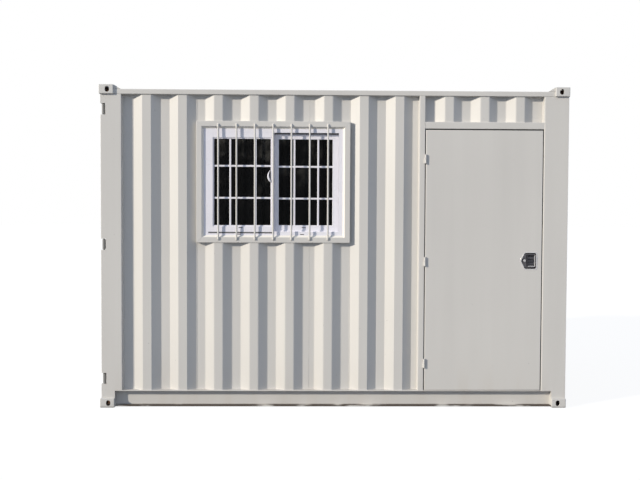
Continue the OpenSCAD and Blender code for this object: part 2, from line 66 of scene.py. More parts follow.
class Slot(Enum):
    """The material slots of the record."""

    PAINT = "painted_steel"
    BOARDS = "floor_boards"
    HINGE = "hinge_steel"
    GEAR = "lock_gear"
    CHROME = "latch_chrome"
    HANDLE = "latch_handle"
    SEAL = "door_seal"
    PLASTIC = "window_plastic"
    GLASS = "window_glass"


# ---- shader helpers


class Value:
    """One shader socket, on which arithmetic adds Math nodes."""

    def __init__(self, shader: "Shader", socket: bpy.types.NodeSocket) -> None:
        """Keep the shader that the socket belongs to."""
        self.shader = shader
        self.socket = socket

    def _math(self, operation: str, first: "Operand", second: "Operand") -> "Value":
        """Add one Math node.

        Args:
            operation: The Math node's operation.
            first: The first operand.
            second: The second operand.

        Returns:
            The node's result.
        """
        return self.shader.node("ShaderNodeMath", {"operation": operation}, {0: first, 1: second})

    def __add__(self, other: "Operand") -> "Value":
        """Return the sum."""
        return self._math("ADD", self, other)

    __radd__ = __add__

    def __sub__(self, other: "Operand") -> "Value":
        """Return this less the other."""
        return self._math("SUBTRACT", self, other)

    def __rsub__(self, other: "Operand") -> "Value":
        """Return the other less this."""
        return self._math("SUBTRACT", other, self)

    def __mul__(self, other: "Operand") -> "Value":
        """Return the product."""
        return self._math("MULTIPLY", self, other)

    __rmul__ = __mul__

    def ramp(self, low: float, high: float) -> "Value":
        """Run smoothly from 0 at low to 1 at high; low may be the larger.

        Args:
            low: Where the result is 0.
            high: Where the result is 1.

        Returns:
            The eased value, kept between 0 and 1.
        """
        return self.shader.node(
            "ShaderNodeMapRange", {"interpolation_type": "SMOOTHSTEP"},
            {"Value": self, "From Min": low, "From Max": high})


Operand = Union[Value, float]


class Shader:
    """The node tree of one finish."""

    def __init__(self, name: str) -> None:
        """Start an empty tree.

        Args:
            name: The finish's name.
        """
        self.material = bpy.data.materials.new(name)
        self.material.use_nodes = True
        self.tree = self.material.node_tree
        self.tree.nodes.clear()
        self.place = self.node("ShaderNodeTexCoord", output="Object")
        self.x, self.y, self.z = self.split(self.place)

    def node(self, kind: str, settings: Optional[dict] = None,
             inputs: Optional[dict] = None, output: Union[int, str] = 0) -> Value:
        """Add a node, set it up, then fill its sockets.

        Args:
            kind: The node's type.
            settings: Its own settings; "stops" are a ramp's positions and colours.
            inputs: A value or a link for each named or numbered socket.
            output: The output to return.

        Returns:
            The wanted output.
        """
        made = self.tree.nodes.new(kind)
        for key, setting in (settings or {}).items():
            if key == "stops":
                for stop, (position, colour) in zip(made.color_ramp.elements, setting):
                    stop.position = position
                    stop.color = (*colour, 1.0)
            else:
                setattr(made, key, setting)
        for key, value in (inputs or {}).items():
            if isinstance(value, Value):
                self.tree.links.new(value.socket, made.inputs[key])
            else:
                made.inputs[key].default_value = value
        return Value(self, made.outputs[output])

    def split(self, vector: Value) -> tuple[Value, Value, Value]:
        """Take a vector apart.

        Args:
            vector: The vector to split.

        Returns:
            Its three parts.
        """
        first = self.node("ShaderNodeSeparateXYZ", inputs={0: vector})
        outputs = first.socket.node.outputs
        return tuple(Value(self, outputs[i]) for i in range(3))

    def noise(self, scale: float, detail: float = 3.0,
              stretch: Place = (1.0, 1.0, 1.0), rough: float = 0.5) -> Value:
        """Return soft noise on the object's own coordinates.

        Args:
            scale: Cells per metre.
            detail: Octaves.
            stretch: Scale along each axis.
            rough: How strong the fine octaves are.

        Returns:
            A value around 0.5.
        """
        mapped = self.node("ShaderNodeMapping", {}, {0: self.place, 3: stretch})
        return self.node("ShaderNodeTexNoise", {}, {
            "Vector": mapped, "Scale": scale, "Detail": detail, "Roughness": rough})

    def mix(self, factor: Operand, first: Union[Value, Colour],
            second: Union[Value, Colour]) -> Value:
        """Blend two colours.

        Args:
            factor: 0 for the first, 1 for the second.
            first: The first colour.
            second: The second colour.

        Returns:
            The blended colour.
        """
        a, b = ((*c, 1.0) if isinstance(c, tuple) else c for c in (first, second))
        return self.node("ShaderNodeMix", {"data_type": "RGBA"}, {0: factor, 6: a, 7: b}, output=2)

    def shade(self, colour: Union[Value, Colour], factor: Operand, amount: float) -> Value:
        """Make a colour lighter and darker by a value round 0.5.

        Args:
            colour: The colour to vary.
            factor: The value, round 0.5.
            amount: The largest change either way.

        Returns:
            The varied colour.
        """
        gain = 1.0 + (factor - 0.5) * (2.0 * amount)
        return self.node("ShaderNodeVectorMath", {"operation": "SCALE"}, {0: colour, "Scale": gain})

    def bump(self, height: Value, strength: float, distance: float,
             under: Optional[Value] = None) -> Value:
        """Turn a height into a normal.

        Args:
            height: The height.
            strength: How strong it is.
            distance: What a height of 1 is, in metres.
            under: Another bump that this one lies on.

        Returns:
            The normal.
        """
        inputs = {"Strength": strength, "Distance": distance, "Height": height}
        if under is not None:
            inputs["Normal"] = under
        return self.node("ShaderNodeBump", {}, inputs, output="Normal")

    def finish(self, colour: Union[Value, Colour], roughness: Operand,
               normal: Optional[Value] = None, **fixed: float) -> Material:
        """Close the tree with its surface.

        Args:
            colour: The base colour.
            roughness: The roughness.
            normal: The surface's normal.
            fixed: Other sockets of the surface, with underscores for spaces.

        Returns:
            The finished material.
        """
        inputs = {"Base Color": (*colour, 1.0) if isinstance(colour, tuple) else colour,
                  "Roughness": roughness}
        if normal is not None:
            inputs["Normal"] = normal
        inputs.update({key.replace("_", " "): value for key, value in fixed.items()})
        surface = self.node("ShaderNodeBsdfPrincipled", {}, inputs)
        self.node_output(surface)
        return self.material

    def node_output(self, surface: Value) -> None:
        """Join a surface to the material's output."""
        out = self.tree.nodes.new("ShaderNodeOutputMaterial")
        self.tree.links.new(surface.socket, out.inputs["Surface"])


# ---- finishes


@dataclass(frozen=True)
class Paint:
    """Sprayed satin paint on steel, with dust low down, and near-black rust at the lowest edges that
    also paints the shade under them.
    """

    name: str
    colour: Colour
    gloss: float = 0.46
    wear: float = 0.0
    # How strong the rust band and its painted shade are at the lowest edges.
    foot: float = 1.0
    dust: Colour = (0.42, 0.36, 0.29)
    # Near-black rust; along the lowest edges the same colour paints the shade under the rails.
    rust: Colour = (0.045, 0.030, 0.022)

    def make(self) -> Material:
        """Mix the paint.

        Returns:
            The finished material.
        """
        s = Shader(self.name)
        broad = s.noise(1.1, 2.0)
        streaks = s.noise(9.0, 3.0, (1.0, 1.0, 0.06))
        speck = s.noise(55.0, 2.0)
        colour = s.shade(self.colour, broad, 0.05)
        colour = s.shade(colour, streaks, 0.045)
        low = s.z.ramp(0.42, 0.0) * streaks.ramp(0.35, 0.75)
        colour = s.mix(low * 0.22, colour, self.dust)
        up = s.split(s.node("ShaderNodeNewGeometry", output="Normal"))[2]
        laid = up.ramp(0.7, 0.95) * s.noise(4.0, 5.0).ramp(0.3, 0.7)
        colour = s.mix(laid * 0.3, colour, self.dust)
        flakes = s.noise(70.0, 4.0, rough=0.65)
        patches = s.noise(6.0, 3.0)
        # Painted shade and rust: a dark broken band in the lowest 12 to 15 mm stands in for the
        # shade under the rails' edges.
        foot = s.z.ramp(0.0155, 0.0125) * patches.ramp(0.30, 0.52) * self.foot
        chips = flakes.ramp(0.735 - self.wear, 0.75 - self.wear)
        rust = s.node("ShaderNodeMath", {"operation": "MAXIMUM"}, {0: foot, 1: chips})
        rust_and_shade_colour = s.shade(self.rust, speck, 0.5)
        colour = s.mix(rust, colour, rust_and_shade_colour)
        rough = self.gloss + (broad - 0.5) * 0.12 + (speck - 0.5) * 0.1 + rust * 0.35
        peel = s.bump(s.noise(420.0, 1.0), 0.12, 0.0004)
        sheet = s.bump(s.noise(3.2, 1.0, (1.0, 1.0, 0.6)), 0.25, 0.006, peel)
        pits = s.bump(rust * -1.0 + speck * 0.15, 0.4, 0.0006, sheet)
        return s.finish(colour, rough, pits)


@dataclass(frozen=True)
class RawCasting:
    """The unpainted inside of a casting: dark scale and rust."""

    name: str
    dark: Colour = (0.045, 0.034, 0.028)
    rust: Colour = (0.17, 0.075, 0.035)

    def make(self) -> Material:
        """Mix the finish.

        Returns:
            The finished material.
        """
        s = Shader(self.name)
        crust = s.noise(60.0, 5.0, rough=0.7)
        colour = s.mix(crust.ramp(0.4, 0.65), self.dark, self.rust)
        return s.finish(colour, 0.75 + (crust - 0.5) * 0.3, s.bump(crust, 0.6, 0.001))


@dataclass(frozen=True)
class Plated:
    """Zinc or chrome plating, wiped and finely scratched."""

    name: str
    colour: Colour
    roughness: float
    metal: float = 1.0
    grain: Place = (1.0, 1.0, 1.0)
    grime: float = 0.3

    def make(self) -> Material:
        """Mix the finish.

        Returns:
            The finished material.
        """
        s = Shader(self.name)
        cloud = s.noise(22.0, 4.0)
        brush = s.noise(260.0, 2.0, self.grain)
        colour = s.shade(self.colour, cloud, 0.16)
        dull = cloud.ramp(0.5, 0.8)
        colour = s.mix(dull * self.grime, colour, (0.13, 0.115, 0.10))
        rough = self.roughness + (brush - 0.5) * 0.22 + dull * 0.15
        return s.finish(colour, rough, s.bump(brush, 0.08, 0.0003), Metallic=self.metal)


@dataclass(frozen=True)
class Plastic:
    """White window plastic with faint dust in patches and moulding waviness."""

    name: str
    colour: Colour
    roughness: float = 0.28

    def make(self) -> Material:
        """Mix the finish.

        Returns:
            The finished material.
        """
        s = Shader(self.name)
        broad = s.noise(5.0, 3.0)
        dust = s.noise(34.0, 5.0, rough=0.6).ramp(0.56, 0.8)
        colour = s.mix(dust * 0.10, s.shade(self.colour, broad, 0.03), (0.42, 0.38, 0.33))
        rough = self.roughness + (broad - 0.5) * 0.12 + dust * 0.2
        return s.finish(colour, rough, s.bump(s.noise(14.0, 1.0), 0.06, 0.002))


@dataclass(frozen=True)
class Glass:
    """A pane painted near-black as the shade of the dark room behind it, with a painted reflection
    of branches smeared over its upper part and specks of dust.
    """

    name: str
    # Near-black: the pane's own colour paints the shade of the unlit room behind it.
    colour: Colour = (0.0022, 0.0024, 0.003)
    # Colour of the painted reflection of branches.
    branch_reflection: Colour = (0.10, 0.095, 0.085)

    def make(self) -> Material:
        """Mix the finish.

        Returns:
            The finished material.
        """
        s = Shader(self.name)
        smears = s.noise(7.5, 7.0, (1.0, 1.0, 0.75), rough=0.72)
        # Painted reflection: light smears of branches, strongest in the pane's upper part.
        upper = s.z.ramp(1.35, 1.75)
        branch_reflection = smears.ramp(0.48, 0.66) * (0.06 + upper * 0.80)
        specks = s.noise(160.0, 2.0).ramp(0.66, 0.74)
        colour = s.mix(branch_reflection * 0.42 + specks * 0.05, self.colour, self.branch_reflection)
        # Alpha 0.90 keeps the near-black painted shade mostly opaque.
        return s.finish(colour, 0.035 + branch_reflection * 0.10, IOR=1.45, Alpha=0.90, Specular_IOR_Level=0.06)


@dataclass(frozen=True)
class Rubber:
    """Matte black rubber, chalky in patches."""

    name: str
    colour: Colour = (0.016, 0.016, 0.017)

    def make(self) -> Material:
        """Mix the finish.

        Returns:
            The finished material.
        """
        s = Shader(self.name)
        chalk = s.noise(40.0, 4.0)
        colour = s.mix(chalk.ramp(0.5, 0.8) * 0.3, self.colour, (0.07, 0.066, 0.06))
        return s.finish(colour, 0.7 + (chalk - 0.5) * 0.25,
                        s.bump(s.noise(500.0, 1.0), 0.15, 0.0004))


@dataclass(frozen=True)
class Boards:
    """Worn plywood: grain along the length, sheet joints and stains."""

    name: str
    light: Colour = (0.40, 0.265, 0.15)
    dark: Colour = (0.19, 0.11, 0.055)
    board: float = 1.05

    def make(self) -> Material:
        """Mix the finish.

        Returns:
            The finished material.
        """
        s = Shader(self.name)
        grain = s.noise(26.0, 6.0, (0.06, 1.0, 1.0), rough=0.62)
        rings = s.node("ShaderNodeTexWave", {"bands_direction": "Y"}, {
            "Vector": s.place, "Scale": 5.5, "Distortion": 9.0, "Detail": 3.0,
            "Detail Scale": 0.5}, output=1)
        wood = s.mix(grain.ramp(0.3, 0.7) * 0.6 + rings * 0.4, self.dark, self.light)
        stain = s.noise(1.7, 5.0).ramp(0.52, 0.72)
        wood = s.mix(stain * 0.5, wood, (0.10, 0.075, 0.05))
        across = s.node("ShaderNodeMath", {"operation": "PINGPONG"},
                        {0: s.x + 10.0 * self.board, 1: self.board / 2})
        joint = across.ramp(0.0022, 0.0012)
        wood = s.mix(joint, wood, (0.02, 0.014, 0.01))
        normal = s.bump(grain + joint * -2.0, 0.35, 0.0012)
        return s.finish(wood, 0.62 + (grain - 0.5) * 0.3, normal)


class Finishes:
    """Every finish, made once and looked up by its slot."""

    def __init__(self) -> None:
        """Make the finishes."""
        self.by_slot = {
            Slot.PAINT: Paint("grey_paint", (0.60, 0.585, 0.56)).make(),
            Slot.BOARDS: Boards("plywood_floor").make(),
            Slot.HINGE: Paint("hinge_paint", (0.60, 0.585, 0.56), 0.4, 0.03).make(),
            Slot.GEAR: Plated("zinc_gear", (0.20, 0.20, 0.198), 0.55, 0.25, grime=0.55).make(),
            Slot.CHROME: Plated("bright_chrome", (0.60, 0.595, 0.60), 0.20, 0.45, grime=0.10).make(),
            Slot.HANDLE: Plated("dark_handle", (0.055, 0.056, 0.066), 0.30, 0.7,
                                (1.0, 1.0, 0.1)).make(),
            Slot.SEAL: Rubber("black_rubber").make(),
            Slot.PLASTIC: Plastic("white_plastic", (0.785, 0.775, 0.835)).make(),
            Slot.GLASS: Glass("pane_glass").make(),
        }
        # Castings carry a quarter of the rust band and its painted shade at their feet.
        self.casting = Paint("casting_paint", (0.585, 0.575, 0.555), 0.55, 0.03, 0.25).make()
        self.raw = RawCasting("casting_inside").make()
        # Dark grey brush seal; its strips also paint the shade in the window's track gaps.
        self.brush = Rubber("grey_brush_shade", (0.105, 0.105, 0.112)).make()
        self.sealant = Plastic("cream_sealant", (0.80, 0.77, 0.71), 0.5).make()
        # Near-black plated finish that paints the shade and dark reflections inside the latch dish
        # and on its lock.
        self.dish = Plated("dish_painted_shade", (0.10, 0.098, 0.108), 0.24, 0.8, grime=0.5).make()

    def of(self, slot: Slot) -> Material:
        """Return the finish of a slot."""
        return self.by_slot[slot]


# ---- mesh helpers


def joined(target: Mesh, part: Mesh,
           material: int = 0) -> None:
    """Add one mesh to another and free it.

    Args:
        target: The mesh that grows.
        part: The mesh that is added.
        material: The material index of the part's faces.
    """
    for face in part.faces:
        face.material_index = material
    spare = bpy.data.meshes.new("spare")
    part.to_mesh(spare)
    part.free()
    target.from_mesh(spare)
    bpy.data.meshes.remove(spare)


def together(parts: Iterable[Mesh]) -> Mesh:
    """Join several meshes into a new one.

    Args:
        parts: The meshes, which are freed.

    Returns:
        The new mesh.
    """
    whole = bmesh.new()
    for part in parts:
        joined(whole, part)
    return whole


def of_kind(items: Iterable, kind: type) -> list:
    """Return the vertices, edges or faces among what an operator made."""
    return [item for item in items if isinstance(item, kind)]


def rounded(bm: Mesh, edges: Iterable[bmesh.types.BMEdge], width: float,
            segments: int = 2, free: bool = False) -> None:
    """Round some edges.

    Args:
        bm: The mesh.
        edges: Its edges to round.
        width: Offset from the edge.
        segments: Faces across the rounding.
        free: True for a bend in thin plate, wider than the plate is thick.
    """
    bmesh.ops.bevel(bm, geom=list(edges), offset=width, offset_type="OFFSET",
                    segments=segments, profile=0.5, affect="EDGES", material=-1,
                    clamp_overlap=not free)


def block(low: Iterable[float], high: Iterable[float], soft: float = 0.001,
          segments: int = 2) -> Mesh:
    """Make a block with rounded edges.

    Args:
        low: Its lowest corner.
        high: Its highest corner.
        soft: The rounding of its edges.
        segments: Faces across the rounding.

    Returns:
        The block.
    """
    a, b = Vector(low), Vector(high)
    bm = bmesh.new()
    place = Matrix.Translation((a + b) / 2) @ Matrix.Diagonal((*(b - a), 1.0))
    bmesh.ops.create_cube(bm, size=1.0, matrix=place)
    if soft:
        rounded(bm, bm.edges, soft, segments)
    return bm


def along(start: Vector, end: Vector) -> Matrix:
    """Return the transform that lays a Z-long shape between two points."""
    turn = (end - start).to_track_quat("Z", "Y").to_matrix().to_4x4()
    return Matrix.Translation((start + end) / 2) @ turn


def rod(start: Iterable[float], end: Iterable[float], radius: float, sides: int = 24,
        soft: float = 0.0008, top: Optional[float] = None) -> Mesh:
    """Make a round or many-sided rod between two points.

    Args:
        start: The middle of its first end.
        end: The middle of its other end.
        radius: Its radius.
        sides: Its sides; 6 makes a hexagon.
        soft: The rounding of its rims.
        top: The radius at its other end, if it tapers.

    Returns:
        The rod.
    """
    a, b = Vector(start), Vector(end)
    bm = bmesh.new()
    bmesh.ops.create_cone(bm, cap_ends=True, segments=sides, radius1=radius,
                          radius2=radius if top is None else top,
                          depth=(b - a).length, matrix=along(a, b))
    if soft:
        rims = [e for e in bm.edges if any(len(f.verts) > 4 for f in e.link_faces)]
        rounded(bm, rims, soft)
    return bm


def dome(centre: Iterable[float], size: Iterable[float]) -> Mesh:
    """Make a flattened ball, such as a weld spot or a rivet head.

    Args:
        centre: Its middle.
        size: Its half sizes.

    Returns:
        The ball.
    """
    bm = bmesh.new()
    place = Matrix.Translation(Vector(centre)) @ Matrix.Diagonal((*size, 1.0))
    bmesh.ops.create_uvsphere(bm, u_segments=10, v_segments=6, radius=1.0, matrix=place)
    return bm


def bead(path: list[Iterable[float]], radius: float = 0.003, step: float = 0.009) -> Mesh:
    """Make a rippled weld bead along a path of straight runs.

    Args:
        path: The points of the path.
        radius: The bead's radius.
        step: The length of one ripple.

    Returns:
        The bead.
    """
    whole = bmesh.new()
    points = [Vector(p) for p in path]
    for a, b in zip(points, points[1:]):
        length = (b - a).length
        part = bmesh.new()
        bmesh.ops.create_cone(part, cap_ends=True, segments=6, radius1=radius,
                              radius2=radius, depth=length + radius)
        sides = [e for e in part.edges if abs((e.verts[0].co - e.verts[1].co).z) > length / 2]
        bmesh.ops.subdivide_edges(part, edges=sides, cuts=max(2, round(2 * length / step)))
        for v in part.verts:
            ripple = 0.86 + 0.14 * math.cos(2 * math.pi * v.co.z / step)
            v.co.x *= ripple
            v.co.y *= ripple
        bmesh.ops.transform(part, matrix=along(a, b), verts=part.verts)
        joined(whole, part)
    return whole


def hollow(low: Place, high: Place, member: float, soft: float = 0.0004) -> Mesh:
    """Make a flat ring in the XZ plane, such as a gasket or a rim.

    Args:
        low: Its lowest outer corner.
        high: Its highest outer corner.
        member: The width of its members.
        soft: The rounding of its edges.

    Returns:
        The ring.
    """
    a, b = Vector(low), Vector(high)
    bm = block(low, high, 0.0)
    ends = [f for f in bm.faces if abs(f.normal.y) > 0.9]
    bmesh.ops.inset_individual(bm, faces=ends, thickness=member)
    inner = [f for f in bm.faces if abs(f.normal.y) > 0.9
             and all(len(e.link_faces) == 2 for e in f.edges)
             and f.calc_area() < 0.999 * (b - a).x * (b - a).z
             and (f.calc_center_median() - (a + b) / 2).xz.length < 1e-6]
    rim = [e for f in inner for e in f.edges]
    bmesh.ops.delete(bm, geom=inner, context="FACES_ONLY")
    bmesh.ops.bridge_loops(bm, edges=rim)
    bmesh.ops.recalc_face_normals(bm, faces=bm.faces)
    if soft:
        sharp = [e for e in bm.edges if e.is_manifold and e.calc_face_angle() > 0.7]
        rounded(bm, sharp, soft, 1)
    return bm


def merged(node: str, whole: bool = True) -> Mesh:
    """Copy a node's mesh, with its corners merged and its flat faces made whole.

    Args:
        node: The node.
        whole: False keeps the triangles of its flat faces, as a ring needs.

    Returns:
        The copy.
    """
    bm = bmesh.new()
    bm.from_mesh(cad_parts[node].data)
    bmesh.ops.remove_doubles(bm, verts=bm.verts, dist=1e-5)
    if whole:
        bmesh.ops.dissolve_limit(bm, angle_limit=math.radians(0.6), verts=bm.verts, edges=bm.edges)
    return bm


@dataclass(frozen=True)
class Rounding:
    """Which edges of a node are rounded, and how far."""

    width: float
    longer: float = 0.0
    shorter: float = 1e9
    segments: int = 2
    angle: float = 24.0
    flatter: float = 180.0
    convex: bool = False
    free: bool = False
    where: Optional[Callable[[Vector], bool]] = None

    def edges(self, bm: Mesh) -> list[bmesh.types.BMEdge]:
        """Find the edges to round.

        Args:
            bm: The mesh.

        Returns:
            The edges that fit every condition.
        """
        return [e for e in bm.edges if e.is_manifold
                and self.angle <= math.degrees(e.calc_face_angle()) <= self.flatter
                and self.longer <= e.calc_length() <= self.shorter
                and (e.is_convex or not self.convex)
                and (not self.where or self.where((e.verts[0].co + e.verts[1].co) / 2))]


class Yard:
    """Where the pieces are finished: each gets its body and its finish, mostly its slot's own."""

    def __init__(self, finishes: Finishes) -> None:
        """Keep the finishes."""
        self.finishes = finishes

    def add(self, name: str, bm: Mesh, slot: Slot,
            body: Body = Body.CONTAINER, replaces: tuple[str, ...] = (),
            finish: Optional[list[Material]] = None,
            smooth: float = 32.0) -> bpy.types.Object:
        """Turn a mesh into a finished piece.

        Args:
            name: The piece's name.
            bm: Its mesh, which is freed.
            slot: Its material slot.
            body: The body that it rides on.
            replaces: The nodes that it stands for.
            finish: Its materials, if they aren't the slot's own.
            smooth: Edges flatter than this many degrees are shaded smooth.

        Returns:
            The piece.
        """
        mesh = bpy.data.meshes.new(name)
        for face in bm.faces:
            face.smooth = True
        bm.to_mesh(mesh)
        bm.free()
        mesh.set_sharp_from_angle(angle=math.radians(smooth))
        for material in finish or [self.finishes.of(slot)]:
            mesh.materials.append(material)
        piece = bpy.data.objects.new(name, mesh)
        bpy.context.scene.collection.objects.link(piece)
        weight = piece.modifiers.new("even_normals", "WEIGHTED_NORMAL")
        weight.keep_sharp = True
        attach(piece, body.value)
        if replaces:
            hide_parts(*replaces)
        LOG.info("%s: %d faces on %s", name, len(mesh.polygons), body.value)
        return piece

    def soften(self, node: str, slot: Slot, roundings: list[Rounding],
               body: Body = Body.CONTAINER, extra: Iterable[Mesh] = (),
               finish: Optional[list[Material]] = None,
               paint: Optional[Callable[[bmesh.types.BMFace], int]] = None,
               whole: bool = True) -> None:
        """Stand a copy with rounded edges in for a node.

        Args:
            node: The node.
            slot: Its material slot.
            roundings: What is rounded, in order.
            body: The body that it rides on.
            extra: More parts of the same piece, such as its welds.
            finish: Its materials, if they aren't the slot's own.
            paint: Gives each face its material index.
            whole: False for a ring, whose flat faces stay as triangles.
        """
        bm = merged(node, whole)
        for rounding in roundings:
            rounded(bm, rounding.edges(bm), rounding.width, rounding.segments, rounding.free)
        if paint:
            for face in bm.faces:
                face.material_index = paint(face)
        for part in extra:
            joined(bm, part)
        self.add(f"{node}_shaped", bm, slot, body, (node,), finish)

    def dress(self, node: str, slot: Slot) -> None:
        """Give a node that keeps its own shape its finish.

        Args:
            node: The node.
            slot: Its material slot.
        """
        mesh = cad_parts[node].data
        mesh.materials.clear()
        mesh.materials.append(self.finishes.of(slot))
        LOG.info("%s: kept, with %s", node, slot.value)


# ---- the steel box


@dataclass
class SteelFrame:
    """Castings, posts, rails and what stands under the floor."""

    yard: Yard
    bend: float = 0.004
    latch_bend: float = 0.0095
    casting_edge: float = 0.005
    casting_shell: float = 0.008
    casting_plan: float = 0.100
    hollow_plan: float = 0.092
    hollow_height: float = 0.058
    post_depth: float = 0.064

    def build(self) -> None:
        """Build every piece of the frame."""
        self.castings()
        long_bends = [Rounding(self.bend, longer=0.12, convex=True, segments=3)]
        for node in ("top_side_rails", "top_end_rails", "door_jamb", "door_head"):
            self.yard.soften(node, Slot.PAINT, long_bends)
        latch_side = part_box("closed_end_posts")[0].x + 0.001
        self.yard.soften("closed_end_posts", Slot.PAINT, [
            Rounding(self.bend, longer=0.12, convex=True, segments=3,
                     where=lambda spot: spot.x > latch_side),
            Rounding(self.latch_bend, longer=0.3, convex=True, segments=4, free=True,
                     where=lambda spot: spot.x < latch_side)])
        self.yard.soften("door_end_posts", Slot.PAINT, [
            Rounding(self.bend, longer=0.3, convex=True, segments=3),
            Rounding(0.0012, shorter=0.3, longer=0.02)])
        for node in ("bottom_side_rails", "bottom_end_rails"):
            self.yard.soften(node, Slot.PAINT, [Rounding(0.002, longer=0.3)])
        self.yard.soften("corner_gussets", Slot.PAINT, [Rounding(0.0015)])
        self.yard.soften("cross_members", Slot.PAINT, [Rounding(0.0012, longer=0.5)])
        self.yard.soften("door_stop", Slot.PAINT, [Rounding(0.001, longer=0.1)])
        self.yard.add("frame_welds", together(self.welds()), Slot.PAINT)

    def castings(self) -> None:
        """Round the castings' edges and leave their insides raw."""
        low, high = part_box("corner_castings")
        shell, plan = self.casting_shell, self.hollow_plan

        def inside(face: bmesh.types.BMFace) -> int:
            """Tell the hollow of a casting from its outside.

            Args:
                face: A face of the castings.

            Returns:
                1 for a face in the hollow, otherwise 0.
            """
            spot = face.calc_center_median()
            deep = all(low[i] + shell < spot[i] < high[i] - shell for i in range(3))
            cornered = all(low[i] + plan > spot[i] or spot[i] > high[i] - plan for i in range(2))
            height = min(spot.z - low.z, high.z - spot.z)
            return int(deep and cornered and height < self.hollow_height)

        outer = Rounding(self.casting_edge, longer=0.055, convex=True, segments=3)
        rim = Rounding(0.0016, shorter=0.03, angle=60.0)
        self.yard.soften("corner_castings", Slot.PAINT, [outer, rim],
                         finish=[self.yard.finishes.casting, self.yard.finishes.raw],
                         paint=inside)

    def welds(self) -> Iterator[Mesh]:
        """Lay the welds between castings, posts, rails, jamb and head.

        Returns:
            All the beads.
        """
        low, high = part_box("corner_castings")
        posts_low, posts_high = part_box("closed_end_posts")
        cargo_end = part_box("door_end_posts")[0].x
        jamb_low, jamb_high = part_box("door_jamb")
        head_low, head_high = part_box("door_head")
        face_y, closed_end = posts_low.y, posts_high.x
        plan, depth = self.casting_plan, self.post_depth
        runs = []
        for side in (-1, 1):
            y = side * -face_y
            for z in (posts_low.z, posts_high.z):
                for x0, x1 in ((cargo_end, low.x + plan), (high.x - plan, closed_end)):
                    runs.append(((x0, y, z), (x1, y, z), 0.0024))
                for x in (cargo_end, closed_end):
                    runs.append(((x, y, z), (x, y - side * depth, z), 0.0020))
        for x in (jamb_low.x, jamb_high.x):
            runs.append(((x, face_y + 0.005, jamb_high.z), (x, face_y + 0.03, jamb_high.z), 0.0028))
        for z in (head_low.z, head_high.z):
            for x in (jamb_high.x, head_high.x):
                runs.append(((x, face_y + 0.006, z), (x, face_y + 0.035, z), 0.0026))
        runs.append(((jamb_high.x, face_y, head_low.z + 0.003),
                     (jamb_high.x, face_y, head_high.z - 0.003), 0.0014))
        for start, end, radius in runs:
            yield bead([start, end], radius)


@dataclass
class Panel:
    """One ribbed panel: its node, where its ribs lie and where it stands."""

    node: str
    first: float
    wide_after: float = math.inf
    extra: float = 0.0


